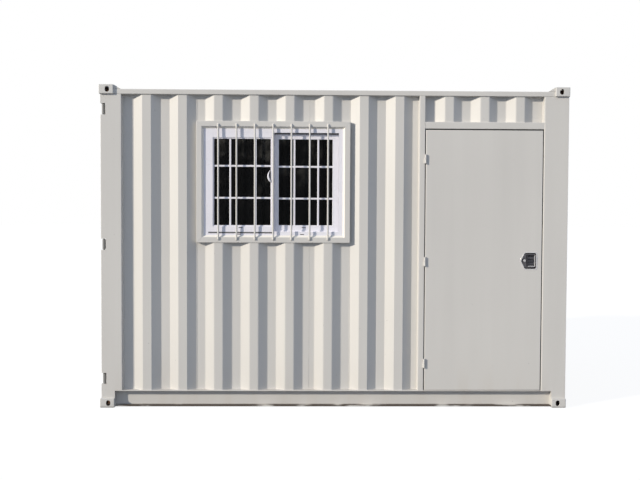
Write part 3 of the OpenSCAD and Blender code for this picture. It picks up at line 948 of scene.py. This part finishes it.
@dataclass
class Walls:
    """The ribbed walls, the roof, the floor and the welds along them."""

    yard: Yard
    pitch: float = 0.247
    crest: float = 0.060
    slope: float = 0.0635
    depth: float = 0.036
    bend: float = 0.0055
    seam_from_panel: float = 0.781
    screw_rows: int = 10
    screw_columns: int = 6
    front: tuple[Panel, ...] = (
        Panel("front_wall_left", 0.172),
        Panel("front_wall_below_window", 0.152, 3, 0.02),
        Panel("front_wall_above_window", 0.152, 3, 0.02),
        Panel("front_wall_middle", 0.095),
        Panel("front_wall_over_door", 0.167),
    )
    back: tuple[Panel, ...] = (Panel("rear_wall", 0.1185), Panel("end_wall", 0.1455))

    def build(self) -> None:
        """Build the walls, the roof and the floor."""
        bends = [Rounding(self.bend, longer=0.1, angle=20.0, flatter=60.0, segments=3)]
        for panel in self.front:
            self.yard.soften(panel.node, Slot.PAINT, bends, extra=self.panel_welds(panel))
        for panel in self.back:
            self.yard.soften(panel.node, Slot.PAINT, bends)
        self.yard.soften("roof", Slot.PAINT, [
            Rounding(0.004, longer=0.5, angle=5.0, flatter=60.0, segments=2)])
        self.yard.add("rear_welds", together(self.rear_welds()), Slot.PAINT)
        self.yard.add("sheet_seam", together(self.seam()), Slot.PAINT)
        self.yard.dress("floor", Slot.BOARDS)
        self.yard.add("floor_screws", together(self.screws()), Slot.GEAR)

    def ribs(self, run: float, panel: Panel) -> list[tuple[float, float]]:
        """Follow a panel's front across its ribs.

        Args:
            run: The panel's width.
            panel: The panel.

        Returns:
            Distance along the panel and depth behind the ribs, point by point.
        """
        half = self.crest / 2 + self.slope
        line = [(0.0, self.depth)]
        for i in range(math.ceil(run / self.pitch)):
            mid = panel.first + i * self.pitch + (panel.extra if i >= panel.wide_after else 0)
            if mid + half <= run + 0.001:
                line += [(mid - half, self.depth), (mid - self.crest / 2, 0.0),
                         (mid + self.crest / 2, 0.0), (mid + half, self.depth)]
        return [*line, (run, self.depth)]

    def panel_welds(self, panel: Panel) -> Iterator[Mesh]:
        """Lay the welds round a front panel.

        Args:
            panel: The panel.

        Returns:
            The beads along its foot, its head and its two sides.
        """
        low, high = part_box(panel.node)
        line = self.ribs(high.x - low.x, panel)
        valley = low.y + self.depth
        for z in (low.z + 0.001, high.z - 0.001):
            yield bead([(low.x + x, low.y + y, z) for x, y in line], 0.0026, 0.011)
        for x in (low.x, high.x):
            yield bead([(x, valley, low.z), (x, valley, high.z)], 0.0024, 0.012)

    def rear_welds(self) -> Iterator[Mesh]:
        """Lay the welds along the foot and head of the rear wall and the end wall.

        Returns:
            The beads.
        """
        for axis, panel in enumerate(self.back):
            low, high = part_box(panel.node)
            line = self.ribs(high[axis] - low[axis], panel)
            for z in (low.z + 0.001, high.z - 0.001):
                if axis == 0:
                    path = [(low.x + s, high.y - d, z) for s, d in line]
                else:
                    path = [(high.x - d, low.y + s, z) for s, d in line]
                yield bead(path, 0.0026, 0.013)

    def seam(self) -> Iterator[Mesh]:
        """Lay the flat weld where two sheets meet under and over the window.

        Returns:
            The beads.
        """
        for node in ("front_wall_below_window", "front_wall_above_window"):
            low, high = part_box(node)
            x, y = low.x + self.seam_from_panel, low.y + self.depth
            yield bead([(x, y, low.z + 0.01), (x, y, high.z - 0.01)], 0.0018, 0.012)

    def screws(self) -> Iterator[Mesh]:
        """Set the floor's countersunk screws.

        Returns:
            All the screw heads, each with its driving recess.
        """
        low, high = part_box("floor")
        rows, columns = self.screw_rows, self.screw_columns
        for row in range(rows):
            for column in range(columns):
                x = low.x + 0.09 + row * (high.x - low.x - 0.18) / (rows - 1)
                y = low.y + 0.07 + column * (high.y - low.y - 0.14) / (columns - 1)
                head = rod((x, y, high.z - 0.002), (x, y, high.z + 0.0006), 0.006, 14, 0.0002)
                top = [f for f in head.faces if f.normal.z > 0.9 and len(f.verts) > 4]
                bmesh.ops.inset_individual(head, faces=top, thickness=0.0035, depth=-0.001)
                yield head


# ---- the window


@dataclass(frozen=True)
class Pane:
    """One pane: its node, its sash, and where its glazing bars lie."""

    node: str
    sash: str
    uprights: tuple[float, ...]
    levels: tuple[float, ...]


@dataclass
class Window:
    """The guard, the plastic frame, both sashes, their panes and glazing bars."""

    yard: Yard
    bar_width: float = 0.013
    bar_proud: float = 0.0045
    glazing_rim: float = 0.0075
    gasket: float = 0.003
    fillet: float = 0.018
    lap: float = 0.006
    bar_count: int = 7
    pull_height: float = 1.6145
    pull_bow: float = 0.060
    pull_half_arc: float = 43
    panes: tuple[Pane, ...] = (
        Pane("window_pane_left", "window_sash_left", (0.112, 0.288), (0.189, 0.411)),
        Pane("window_pane_right", "window_sash_right", (0.1095, 0.2755), (0.186, 0.408)),
    )

    def build(self) -> None:
        """Build the window from the guard inwards."""
        self.yard.soften("guard_frame", Slot.PAINT,
                         [Rounding(0.003, longer=0.5, convex=True, segments=3)],
                         extra=self.mitres(), whole=False)
        self.yard.dress("guard_bars", Slot.PAINT)
        self.yard.add("bar_welds", together(self.bar_welds()), Slot.PAINT)
        self.yard.soften("window_frame", Slot.PLASTIC, [Rounding(0.002, longer=0.3)],
                         extra=self.lips(), whole=False)
        self.yard.add("sash_cover", together(self.cover()), Slot.PLASTIC)
        for pane in self.panes:
            self.yard.soften(pane.sash, Slot.PLASTIC, [Rounding(0.002, longer=0.1)],
                             extra=self.glazing(pane), whole=False)
            self.yard.dress(pane.node, Slot.GLASS)
        self.yard.add("pane_gaskets", together(self.gaskets()), Slot.SEAL)
        # Brush seals whose dark strips paint the track's shade and the head lip's shadow.
        self.yard.add("brush_seal_shade_strips", together(self.shade_brush_strips()), Slot.SEAL,
                      finish=[self.yard.finishes.brush])
        self.yard.add("window_sealant", self.sealant(), Slot.PLASTIC,
                      finish=[self.yard.finishes.sealant])
        # Dark inlays that paint the shade inside the drain slots.
        self.yard.add("drain_slot_shade_inlays", together(self.drain_slot_shades()), Slot.SEAL)
        self.yard.add("sash_pull", self.pull(), Slot.PLASTIC)
        self.yard.add("roller_caps", together(self.caps()), Slot.PLASTIC)

    def mitres(self) -> Iterator[Mesh]:
        """Lay the dressed welds across the guard frame's corners.

        Returns:
            The four beads.
        """
        low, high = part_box("guard_frame")
        near, far = 0.002, 0.036
        for x, across in ((low.x, 1), (high.x, -1)):
            for z, up in ((low.z, 1), (high.z, -1)):
                yield bead([(x + off * across, low.y, z + off * up) for off in (near, far)],
                           0.0012, 0.006)

    def bar_welds(self) -> Iterator[Mesh]:
        """Put a weld at both ends of each guard bar.

        Returns:
            The welds.
        """
        low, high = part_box("guard_bars")
        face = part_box("guard_frame")[0].y
        radius = (high.y - low.y) / 2
        step = (high.x - low.x - 2 * radius) / (self.bar_count - 1)
        for i in range(self.bar_count):
            x = low.x + radius + i * step
            for z, up in ((low.z, -1), (high.z, 1)):
                yield dome((x, face - 0.002, z), (0.0075, 0.0045, 0.006))
                for beside in (x - 0.0058, x + 0.0058):
                    yield bead([(beside, face, z), (beside, face, z - up * 0.015)], 0.0022, 0.006)

    def lips(self) -> Iterator[Mesh]:
        """Make the ribs of the frame between its two tracks, at the head and the sill.

        Returns:
            Both ribs.
        """
        left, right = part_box("window_sash_left"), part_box("window_sash_right")
        middle = (left[1].y + right[0].y) / 2
        for z in (left[0].z, left[1].z - 0.009):
            yield block((left[1].x + 0.002, middle - 0.0009, z - 0.001),
                        (right[1].x, middle + 0.0006, z + 0.010), 0.0003, 1)

    def sealant(self) -> Mesh:
        """Fill the corner between the guard and the plastic frame all round.

        Returns:
            The slanted fillet.
        """
        low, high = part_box("window_frame")
        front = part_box("guard_frame")[0].y + 0.0035
        middle, reach = (low + high) / 2, (high - low) / 2
        bm = hollow((low.x + 0.0003, front, low.z + 0.0003),
                    (high.x - 0.0003, low.y + 0.0004, high.z - 0.0003), self.fillet, 0)
        for v in bm.verts:
            for i in (0, 2):
                off = v.co[i] - middle[i]
                if v.co.y < front + 0.0002 and abs(off) < reach[i] - 0.001:
                    v.co[i] += math.copysign(self.fillet - 0.002, off)
        return bm

    def cover(self) -> Iterator[Mesh]:
        """Bring the front sash's members flush with the frame.

        Returns:
            The two stiles and the two rails.
        """
        sash_low, sash_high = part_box("window_sash_left")
        low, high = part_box("window_pane_left")
        front, back = self.front_face(), sash_low.y + 0.001
        left, right = sash_low.x - self.lap, sash_high.x
        foot, head = sash_low.z - 0.0025, sash_high.z + self.lap
        rim = 0.0085
        for x0, x1 in ((left, low.x - rim), (high.x + rim, right)):
            yield block((x0, front, foot), (x1, back, head), 0.0006, 1)
        for z0, z1 in ((foot, low.z - rim), (high.z + rim, head)):
            yield block((low.x - rim - 0.001, front + 0.0002, z0),
                        (high.x + rim + 0.001, back, z1), 0.0006, 1)

    def front_face(self) -> float:
        """Return the depth of the front sash's covers."""
        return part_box("window_frame")[0].y + 0.0002

    def glazing(self, pane: Pane) -> Iterator[Mesh]:
        """Make the glazing bars on a pane and the bead that holds the pane.

        Args:
            pane: The pane.

        Returns:
            The bars and the bead, joined to the sash's own piece.
        """
        low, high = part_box(pane.node)
        sash_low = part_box(pane.sash)[0]
        half, front = self.bar_width / 2, low.y - self.bar_proud
        rim = self.glazing_rim
        yield hollow((low.x - rim, sash_low.y - 0.0008, low.z - rim),
                     (high.x + rim, sash_low.y + 0.003, high.z + rim), 0.0065, 0.0007)
        for x in pane.uprights:
            yield block((low.x + x - half, front, low.z - 0.001),
                        (low.x + x + half, low.y + 0.001, high.z + 0.001), 0.0022)
        for z in pane.levels:
            yield block((low.x - 0.001, front + 0.0004, low.z + z - half),
                        (high.x + 0.001, low.y + 0.001, low.z + z + half), 0.0022)

    def gaskets(self) -> Iterator[Mesh]:
        """Make the thin rubber line round each pane, on both of its sides.

        Returns:
            The gaskets.
        """
        for pane in self.panes:
            low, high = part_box(pane.node)
            for y in (low.y - 0.0012, high.y - 0.0006):
                yield hollow((low.x, y, low.z), (high.x, y + 0.0018, high.z), self.gasket)

    def shade_brush_strips(self) -> Iterator[Mesh]:
        """Make the dark brush strips under the front sash and over the rear one, which paint the
        shade of the sunk sill track and the shadow of the head's lip on the rear sash.

        Returns:
            The strips.
        """
        frame_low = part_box("window_frame")[0]
        front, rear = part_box("window_sash_left"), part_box("window_sash_right")
        yield block((front[0].x + 0.003, frame_low.y - 0.0014, front[0].z - 0.0135),
                    (front[1].x, frame_low.y + 0.001, front[0].z - 0.0035), 0.0005)
        yield block((front[1].x + 0.004, rear[0].y - 0.004, rear[1].z - 0.009),
                    (rear[1].x - 0.002, rear[0].y + 0.001, rear[1].z + 0.004), 0.0005)

    def drain_slot_shades(self) -> Iterator[Mesh]:
        """Make the drain slots of the sill and of the sashes' lower rails as dark inlays that paint
        the shade inside the slots.

        Returns:
            The slots, each a dark inlay with rounded ends that paints the shade inside the slot.
        """
        frame_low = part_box("window_frame")[0]
        for pane in self.panes:
            low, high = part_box(pane.node)
            sash_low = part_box(pane.sash)[0]
            mid = (low.x + high.x) / 2
            face = self.front_face() if pane.sash.endswith("left") else sash_low.y
            places = ((mid - 0.012, face, low.z - 0.017),
                      (mid - 0.024, frame_low.y, sash_low.z - 0.020))
            for x, y, z in places:
                yield block((x - 0.014, y - 0.0005, z - 0.0025),
                            (x + 0.014, y + 0.001, z + 0.0025), 0.0004)

    def caps(self) -> Iterator[Mesh]:
        """Make the small covers over the rollers and the screws of the frame.

        Returns:
            The covers.
        """
        low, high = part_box("window_frame")
        for x in (low.x + 0.029, high.x - 0.029):
            for z in (low.z + 0.22, high.z - 0.22):
                yield rod((x, low.y + 0.001, z), (x, low.y - 0.0012, z), 0.006, 18, 0.0004)

    def pull(self) -> Mesh:
        """Bend the crescent-shaped pull on the front sash's meeting stile.

        Returns:
            The pull with its foot.
        """
        low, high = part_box("window_pane_left")
        face = self.front_face()
        centre = Vector((high.x + 0.043, face - 0.002, self.pull_height))
        bow, half_arc = self.pull_bow, self.pull_half_arc
        bm = bmesh.new()
        start = Matrix.Rotation(math.radians(half_arc), 4, "Y") @ Matrix.Translation((-bow, 0, 0))
        bmesh.ops.create_circle(bm, cap_ends=False, segments=12, radius=0.0095)
        bmesh.ops.transform(bm, matrix=Matrix.Translation(centre) @ start, verts=bm.verts)
        bmesh.ops.spin(bm, geom=bm.edges[:], cent=centre, axis=(0, 1, 0),
                       angle=math.radians(-2 * half_arc), steps=20, use_duplicate=False)
        bmesh.ops.holes_fill(bm, edges=bm.edges, sides=0)
        bmesh.ops.remove_doubles(bm, verts=bm.verts, dist=1e-6)
        for v in bm.verts:
            ring = Vector((v.co.x - centre.x, 0, v.co.z - centre.z))
            drop = -ring.normalized().z / math.sin(math.radians(half_arc + 1))
            full = max(0.12, 1.0 - drop * drop) ** 0.5 * (0.62 + 0.48 * drop)
            middle = centre + ring.normalized() * bow
            v.co = middle + (v.co - middle) * full
        bmesh.ops.recalc_face_normals(bm, faces=bm.faces)
        joined(bm, block((high.x + 0.003, face - 0.003, centre.z - 0.030),
                         (high.x + 0.015, face + 0.001, centre.z + 0.030), 0.0012))
        return bm


# ---- the side door


@dataclass
class SideDoor:
    """The leaf, its rubber, its hinges and its recessed latch."""

    yard: Yard
    inset: float = 0.008
    seal: float = 0.0042
    head_seal: float = 0.0062
    foot_seal: float = 0.0012
    heights: tuple[float, ...] = (0.311, 1.023, 1.735)
    flange: float = 0.0058
    dish_point: float = 0.028
    dish_over: float = 0.0015
    dish_corner: float = 0.011

    def build(self) -> None:
        """Build the door."""
        self.yard.soften("side_door_leaf", Slot.PAINT, [
            Rounding(0.0045, longer=0.7, convex=True, segments=3, free=True)],
            Body.SIDE_DOOR)
        self.yard.add("doorway_seal", together(self.rubber()), Slot.SEAL)
        for node, body, side in (("side_door_knuckles", Body.SIDE_DOOR, 1),
                                 ("side_door_hinge_pins", Body.CONTAINER, -1)):
            self.yard.soften(node, Slot.HINGE, [Rounding(0.0008, angle=50.0, shorter=0.02)],
                             body, extra=self.hinge_welds(side))
        self.latch()

    def rubber(self) -> Iterator[Mesh]:
        """Make the rubber in the gap round the leaf.

        Returns:
            A strip on each side of the doorway.
        """
        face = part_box("side_door_leaf")[0].y
        low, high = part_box("door_stop")
        front, back, reach = face + self.inset, low.y - 0.0005, self.seal
        yield block((low.x, front, low.z), (low.x + reach, back, high.z), 0.0008)
        yield block((high.x - reach, front, low.z), (high.x, back, high.z), 0.0008)
        yield block((low.x, front, high.z - self.head_seal), (high.x, back, high.z), 0.0008)
        yield block((low.x, front, low.z), (high.x, back, low.z + self.foot_seal), 0.0004)

    def hinge_welds(self, side: int) -> Iterator[Mesh]:
        """Lay the welds that hold the hinges on one side.

        Args:
            side: 1 for the leaf's side, -1 for the jamb's side.

        Returns:
            The beads.
        """
        leaf_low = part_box("side_door_leaf")[0]
        x, y = leaf_low.x + (0.0035 if side > 0 else -0.0095), leaf_low.y - 0.0004
        for height in self.heights:
            z = height + 0.012 * side
            yield bead([(x, y, z - 0.017), (x, y, z + 0.017)], 0.0028, 0.007)

    def latch(self) -> None:
        """Build the pentagon dish with its rolled flange, the lock and the paddle; the dish's inside
        and the lock are painted near-black as shade and dark reflection.
        """
        low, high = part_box("latch_dish")
        leaf_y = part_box("side_door_leaf")[0].y
        mid_z, point, over = (low.z + high.z) / 2, self.dish_point, self.dish_over
        bm = bmesh.new()
        outline = [(low.x - over, mid_z), (low.x + point, low.z - over),
                   (high.x + over, low.z - over), (high.x + over, high.z + over),
                   (low.x + point, high.z + over)]
        bm.faces.new([bm.verts.new((x, leaf_y - 0.0004, z)) for x, z in outline])
        bmesh.ops.bevel(bm, geom=bm.verts[:], offset=self.dish_corner, offset_type="OFFSET",
                        segments=3, profile=0.5, affect="VERTICES", material=-1)
        face = bm.faces[:][0]
        skirt = bmesh.ops.extrude_face_region(bm, geom=[face])
        lifted = of_kind(skirt["geom"], bmesh.types.BMVert)
        bmesh.ops.translate(bm, verts=lifted, vec=(0, -0.0018, 0))
        front = of_kind(skirt["geom"], bmesh.types.BMFace)
        bmesh.ops.delete(bm, geom=[face], context="FACES_ONLY")
        bmesh.ops.inset_region(bm, faces=front, thickness=self.flange, use_even_offset=True)
        for taper, deep in ((0.97, 0.006), (0.90, 0.0145)):
            walls = bmesh.ops.extrude_face_region(bm, geom=front)
            old = front
            front = of_kind(walls["geom"], bmesh.types.BMFace)
            bmesh.ops.delete(bm, geom=old, context="FACES_ONLY")
            moved = list({v for f in front for v in f.verts})
            centre = front[0].calc_center_median()
            bmesh.ops.scale(bm, vec=(taper, 1, taper), verts=moved,
                            space=Matrix.Translation(-centre))
            bmesh.ops.translate(bm, verts=moved, vec=(0, deep, 0))
        rim = [e for e in bm.edges if e.is_boundary]
        for taper, deep in ((0.90, 0.0), (0.97, 0.0255)):
            shell = bmesh.ops.extrude_edge_only(bm, edges=rim)["geom"]
            rim = of_kind(shell, bmesh.types.BMEdge)
            moved = of_kind(shell, bmesh.types.BMVert)
            middle = Vector(((low.x + high.x) / 2, leaf_y, mid_z))
            bmesh.ops.scale(bm, vec=(taper, 1, taper), verts=moved,
                            space=Matrix.Translation(-middle))
            bmesh.ops.translate(bm, verts=moved, vec=(0, deep, 0))
        bmesh.ops.holes_fill(bm, edges=rim, sides=0)
        bmesh.ops.recalc_face_normals(bm, faces=bm.faces)
        sharp = [e for e in bm.edges if e.is_manifold and e.calc_face_angle() > 0.5]
        rounded(bm, sharp, 0.0012, 3)
        # Painted shade: faces more than 1.2 mm inside the dish take the near-black finish, for the
        # shade and dark reflections in the recess.
        dark = leaf_y + 0.0012
        for f in bm.faces:
            f.material_index = int(f.calc_center_median().y > dark)
        # The lock cylinder and its slot take the same near-black finish, painted shade and dark
        # reflection.
        lock = Vector((low.x + 0.031, leaf_y + 0.014, mid_z + 0.002))
        joined(bm, rod(lock + Vector((0, 0.006, 0)), lock - Vector((0, 0.009, 0)), 0.0122,
                       28, 0.0016, 0.0112), 1)
        joined(bm, rod(lock - Vector((0, 0.008, 0)), lock - Vector((0, 0.0105, 0)), 0.0082,
                       24, 0.0008))
        joined(bm, block(lock + Vector((-0.0010, -0.0109, -0.004)),
                         lock + Vector((0.0010, -0.009, 0.004)), 0.0003), 1)
        self.yard.add("latch_dish_shaped", bm, Slot.CHROME, Body.SIDE_DOOR, ("latch_dish",),
                      [self.yard.finishes.of(Slot.CHROME), self.yard.finishes.dish])
        self.paddle()

    def paddle(self) -> None:
        """Build the paddle: a dark plated tray with a finger pocket and a lip, with chrome strips
        that paint highlights on its right and bottom edges and a dark strip that paints shade on its
        left edge.
        """
        low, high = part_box("latch_paddle")
        leaf_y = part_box("side_door_leaf")[0].y
        front, back = leaf_y + 0.0005, leaf_y + 0.016
        tall = high.z - low.z
        scoop = ((front, 1.0), (back - 0.002, 0.86), (back - 0.002, 0.66), (front + 0.0015, 0.52),
                 (front + 0.003, 0.43), (back - 0.003, 0.36), (back - 0.003, 0.20),
                 (front, 0.0), (back, 0.0), (back, 1.0))
        tray = bmesh.new()
        side = tray.faces.new([tray.verts.new((low.x + 0.002, y, low.z + tall * part))
                               for y, part in scoop])
        grown = bmesh.ops.extrude_face_region(tray, geom=[side])
        moved = of_kind(grown["geom"], bmesh.types.BMVert)
        bmesh.ops.translate(tray, verts=moved, vec=(high.x - low.x - 0.005, 0, 0))
        bmesh.ops.recalc_face_normals(tray, faces=tray.faces)
        rounded(tray, [e for e in tray.edges if e.calc_face_angle() > 0.3], 0.0012, 2)
        for f in tray.faces:
            f.material_index = 1
        # Painted highlight: bright chrome only along the right and bottom edges, where the light
        # catches them.
        chrome_highlight_edges = ((high.x - 0.0045, low.z, high.x, high.z),
                  (low.x + 0.004, low.z, high.x - 0.001, low.z + 0.0045))
        for x0, z0, x1, z1 in chrome_highlight_edges:
            joined(tray, block((x0, front - 0.0012, z0), (x1, back, z1), 0.0016, 3))
        # Painted shade: the left edge is a dark strip.
        joined(tray, block((low.x, front + 0.002, low.z + 0.002),
                           (low.x + 0.003, back, high.z), 0.001), 1)
        self.yard.add("latch_paddle_shaped", tray, Slot.HANDLE, Body.SIDE_DOOR,
                      ("latch_paddle",),
                      [self.yard.finishes.of(Slot.CHROME), self.yard.finishes.of(Slot.HANDLE)])


# ---- the cargo doors


@dataclass
class CargoDoor:
    """One cargo leaf with its hinges, lock rods, guides and seal."""

    yard: Yard
    side: str
    body: Body
    rim: float = 0.060
    panel_in: float = 0.042
    handle_height: float = 1.09
    handle_reach: float = 0.1

    def node(self, what: str) -> str:
        """Return the full name of one of this leaf's nodes."""
        return f"{self.side}_cargo_{what}"

    def build(self) -> None:
        """Build the leaf and what it carries."""
        self.yard.soften(self.node("leaf"), Slot.PAINT, [
            Rounding(0.0055, longer=1.5, angle=20.0, flatter=60.0, segments=3),
            Rounding(0.003, longer=0.5, angle=70.0, convex=True, segments=2)],
            self.body, extra=self.frame_welds())
        self.yard.soften(self.node("hinges"), Slot.GEAR, [
            Rounding(0.0014, angle=60.0, longer=0.005)], self.body, extra=self.bolts())
        self.yard.soften(self.node("rods"), Slot.GEAR, [
            Rounding(0.0014, angle=60.0, longer=0.006)], self.body, extra=self.grips())
        self.yard.soften(self.node("guides"), Slot.GEAR, [
            Rounding(0.0016, angle=60.0, longer=0.02)], self.body, extra=self.guide_bolts())
        self.yard.soften(self.node("seal"), Slot.SEAL, [Rounding(0.003, longer=0.5)], self.body)

    def parts(self, what: str) -> list[tuple[Vector, Vector]]:
        """Find the separate solids of a node.

        Args:
            what: The node's own name.

        Returns:
            The lowest and highest corner of each solid.
        """
        bm = merged(self.node(what))
        left, found = set(bm.verts), []
        while left:
            front = [left.pop()]
            seen = list(front)
            while front:
                here = front.pop()
                for edge in here.link_edges:
                    other = edge.other_vert(here)
                    if other in left:
                        left.remove(other)
                        front.append(other)
                        seen.append(other)
            found.append(tuple(Vector(pick(v.co[i] for v in seen) for i in range(3))
                               for pick in (min, max)))
        bm.free()
        return sorted(found, key=lambda pair: (round(pair[0].y, 3), pair[0].z))

    def frame_welds(self) -> Iterator[Mesh]:
        """Lay the beads where the ribbed panel meets the leaf's frame.

        Returns:
            The beads up both sides.
        """
        low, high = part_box(self.node("leaf"))
        x, rim = low.x + self.panel_in, self.rim
        for y in (low.y + rim, high.y - rim):
            yield bead([(x, y, low.z + rim), (x, y, high.z - rim)], 0.0026, 0.013)

    def bolts(self) -> Iterator[Mesh]:
        """Set the bolts of each hinge blade.

        Returns:
            Washers and hexagon heads.
        """
        low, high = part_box(self.node("leaf"))
        outward, edge = (-1, low.y) if self.side == "front" else (1, high.y)
        face = low.x - 0.008
        for part_low, part_high in self.parts("hinges"):
            middle = (part_low.z + part_high.z) / 2
            for y in (edge - outward * 0.020, edge - outward * 0.052):
                for z in (middle - 0.017, middle + 0.017):
                    for radius, sides, tall in ((0.0085, 20, 0.0015), (0.0062, 6, 0.0065)):
                        yield rod((face + 0.001, y, z), (face - tall, y, z), radius, sides, 0.0005)

    def grips(self) -> Iterator[Mesh]:
        """Round both ends of each lock handle with a hub.

        Returns:
            The hubs.
        """
        for low, high in self.parts("rods"):
            if high.y - low.y >= self.handle_reach:
                for y in (low.y + 0.015, high.y - 0.015):
                    yield dome(((low.x + high.x) / 2, y, self.handle_height), (0.013, 0.016, 0.024))

    def guide_bolts(self) -> Iterator[Mesh]:
        """Set two bolts in each cheek of the rod guides.

        Returns:
            The bolt heads.
        """
        for low, high in self.parts("guides"):
            middle = (low + high) / 2
            x = middle.x + 0.004
            for y, out in ((low.y, -1), (high.y, 1)):
                for z in (middle.z - 0.010, middle.z + 0.010):
                    yield rod((x, y - out * 0.001, z), (x, y + out * 0.0035, z), 0.0042, 6, 0.0004)


# ---- the studio


@dataclass(frozen=True)
class Studio:
    """The floor, the sun, the sky and the camera."""

    sun_way: Place = (1.66, 1.0, -0.70)
    sun_power: float = 3.79
    sun_colour: Colour = (1.0, 0.917, 0.785)
    sun_softness: float = 2.2
    sky: Colour = (0.475, 0.56, 0.71)
    ground: Colour = (0.15, 0.147, 0.14)
    eye: Place = (-0.2115, -7.107, 1.3886)
    yaw: float = -1.034
    pitch: float = -2.07
    roll: float = 0.252
    focal: float = 48.94

    def build(self) -> None:
        """Build the studio."""
        self.lights()
        self.floor()
        self.camera()
        bpy.context.scene.view_settings.view_transform = "Standard"

    def lights(self) -> None:
        """Hang the sun and paint the sky, white where the eye or a gloss meets it."""
        lamp = bpy.data.lights.new("sun", "SUN")
        lamp.energy = self.sun_power
        lamp.color = self.sun_colour
        lamp.angle = math.radians(self.sun_softness)
        sun = bpy.data.objects.new("sun", lamp)
        sun.rotation_euler = Vector(self.sun_way).to_track_quat("-Z", "Y").to_euler()
        bpy.context.scene.collection.objects.link(sun)
        world = bpy.data.worlds.new("sky")
        bpy.context.scene.world = world
        world.use_nodes = True
        tree = world.node_tree
        tree.nodes.clear()
        sky = tree.nodes.new("ShaderNodeBackground")
        sky.inputs["Color"].default_value = (*self.sky, 1.0)
        white = tree.nodes.new("ShaderNodeBackground")
        white.inputs["Color"].default_value = (1.0, 1.0, 1.0, 1.0)
        blend = tree.nodes.new("ShaderNodeMixShader")
        out = tree.nodes.new("ShaderNodeOutputWorld")
        tree.links.new(seen_directly(tree), blend.inputs[0])
        tree.links.new(sky.outputs[0], blend.inputs[1])
        tree.links.new(white.outputs[0], blend.inputs[2])
        tree.links.new(blend.outputs[0], out.inputs["Surface"])

    def floor(self) -> None:
        """Lay the pale floor, which keeps the shadow."""
        bm = bmesh.new()
        bmesh.ops.create_grid(bm, x_segments=2, y_segments=2, size=60.0)
        mesh = bpy.data.meshes.new("studio_floor")
        bm.to_mesh(mesh)
        bm.free()
        floor = bpy.data.objects.new("studio_floor", mesh)
        bpy.context.scene.collection.objects.link(floor)
        s = Shader("studio_floor")
        grit = s.noise(3.0, 4.0)
        plain = s.node("ShaderNodeBsdfDiffuse", {}, {"Color": s.shade(self.ground, grit, 0.04)})
        pale = s.node("ShaderNodeBsdfDiffuse", {}, {"Color": (0.9, 0.9, 0.9, 1.0)})
        glow = s.node("ShaderNodeEmission", {}, {"Color": (1.0, 1.0, 1.0, 1.0), "Strength": 1.05})
        white = s.node("ShaderNodeMixShader", {}, {0: 0.86, 1: pale, 2: glow})
        seen = Value(s, seen_directly(s.tree))
        s.node_output(s.node("ShaderNodeMixShader", {}, {0: seen, 1: plain, 2: white}))
        mesh.materials.append(s.material)

    def camera(self) -> None:
        """Stand the camera before the window wall."""
        data = bpy.data.cameras.new("camera")
        data.sensor_width = 36.0
        data.lens = self.focal
        data.clip_start, data.clip_end = 0.05, 200.0
        camera = bpy.data.objects.new("camera", data)
        camera.matrix_world = (
            Matrix.Translation(self.eye)
            @ Matrix.Rotation(math.radians(self.yaw), 4, "Z")
            @ Matrix.Rotation(math.radians(90 + self.pitch), 4, "X")
            @ Matrix.Rotation(math.radians(self.roll), 4, "Z"))
        bpy.context.scene.collection.objects.link(camera)
        bpy.context.scene.camera = camera


def seen_directly(tree: bpy.types.NodeTree) -> bpy.types.NodeSocket:
    """Find the rays that show the backdrop itself: straight, mirrored or through glass.

    Args:
        tree: The tree that needs them.

    Returns:
        1 for such a ray, otherwise 0.
    """
    path = tree.nodes.new("ShaderNodeLightPath")
    total = path.outputs["Is Camera Ray"]
    for kind in ("Is Glossy Ray", "Is Transmission Ray"):
        most = tree.nodes.new("ShaderNodeMath")
        most.operation = "MAXIMUM"
        tree.links.new(total, most.inputs[0])
        tree.links.new(path.outputs[kind], most.inputs[1])
        total = most.outputs[0]
    return total


def main() -> None:
    """Build the container and its studio."""
    logging.basicConfig(level=logging.INFO, format="%(name)s: %(message)s")
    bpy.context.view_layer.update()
    yard = Yard(Finishes())
    SteelFrame(yard).build()
    Walls(yard).build()
    Window(yard).build()
    SideDoor(yard).build()
    CargoDoor(yard, "front", Body.FRONT_CARGO).build()
    CargoDoor(yard, "rear", Body.REAR_CARGO).build()
    for node in ("cargo_hinge_pins", "rod_keepers"):
        yard.soften(node, Slot.GEAR, [Rounding(0.001, angle=60.0, longer=0.004)])
    Studio().build()


if __name__ == "__main__":
    main()
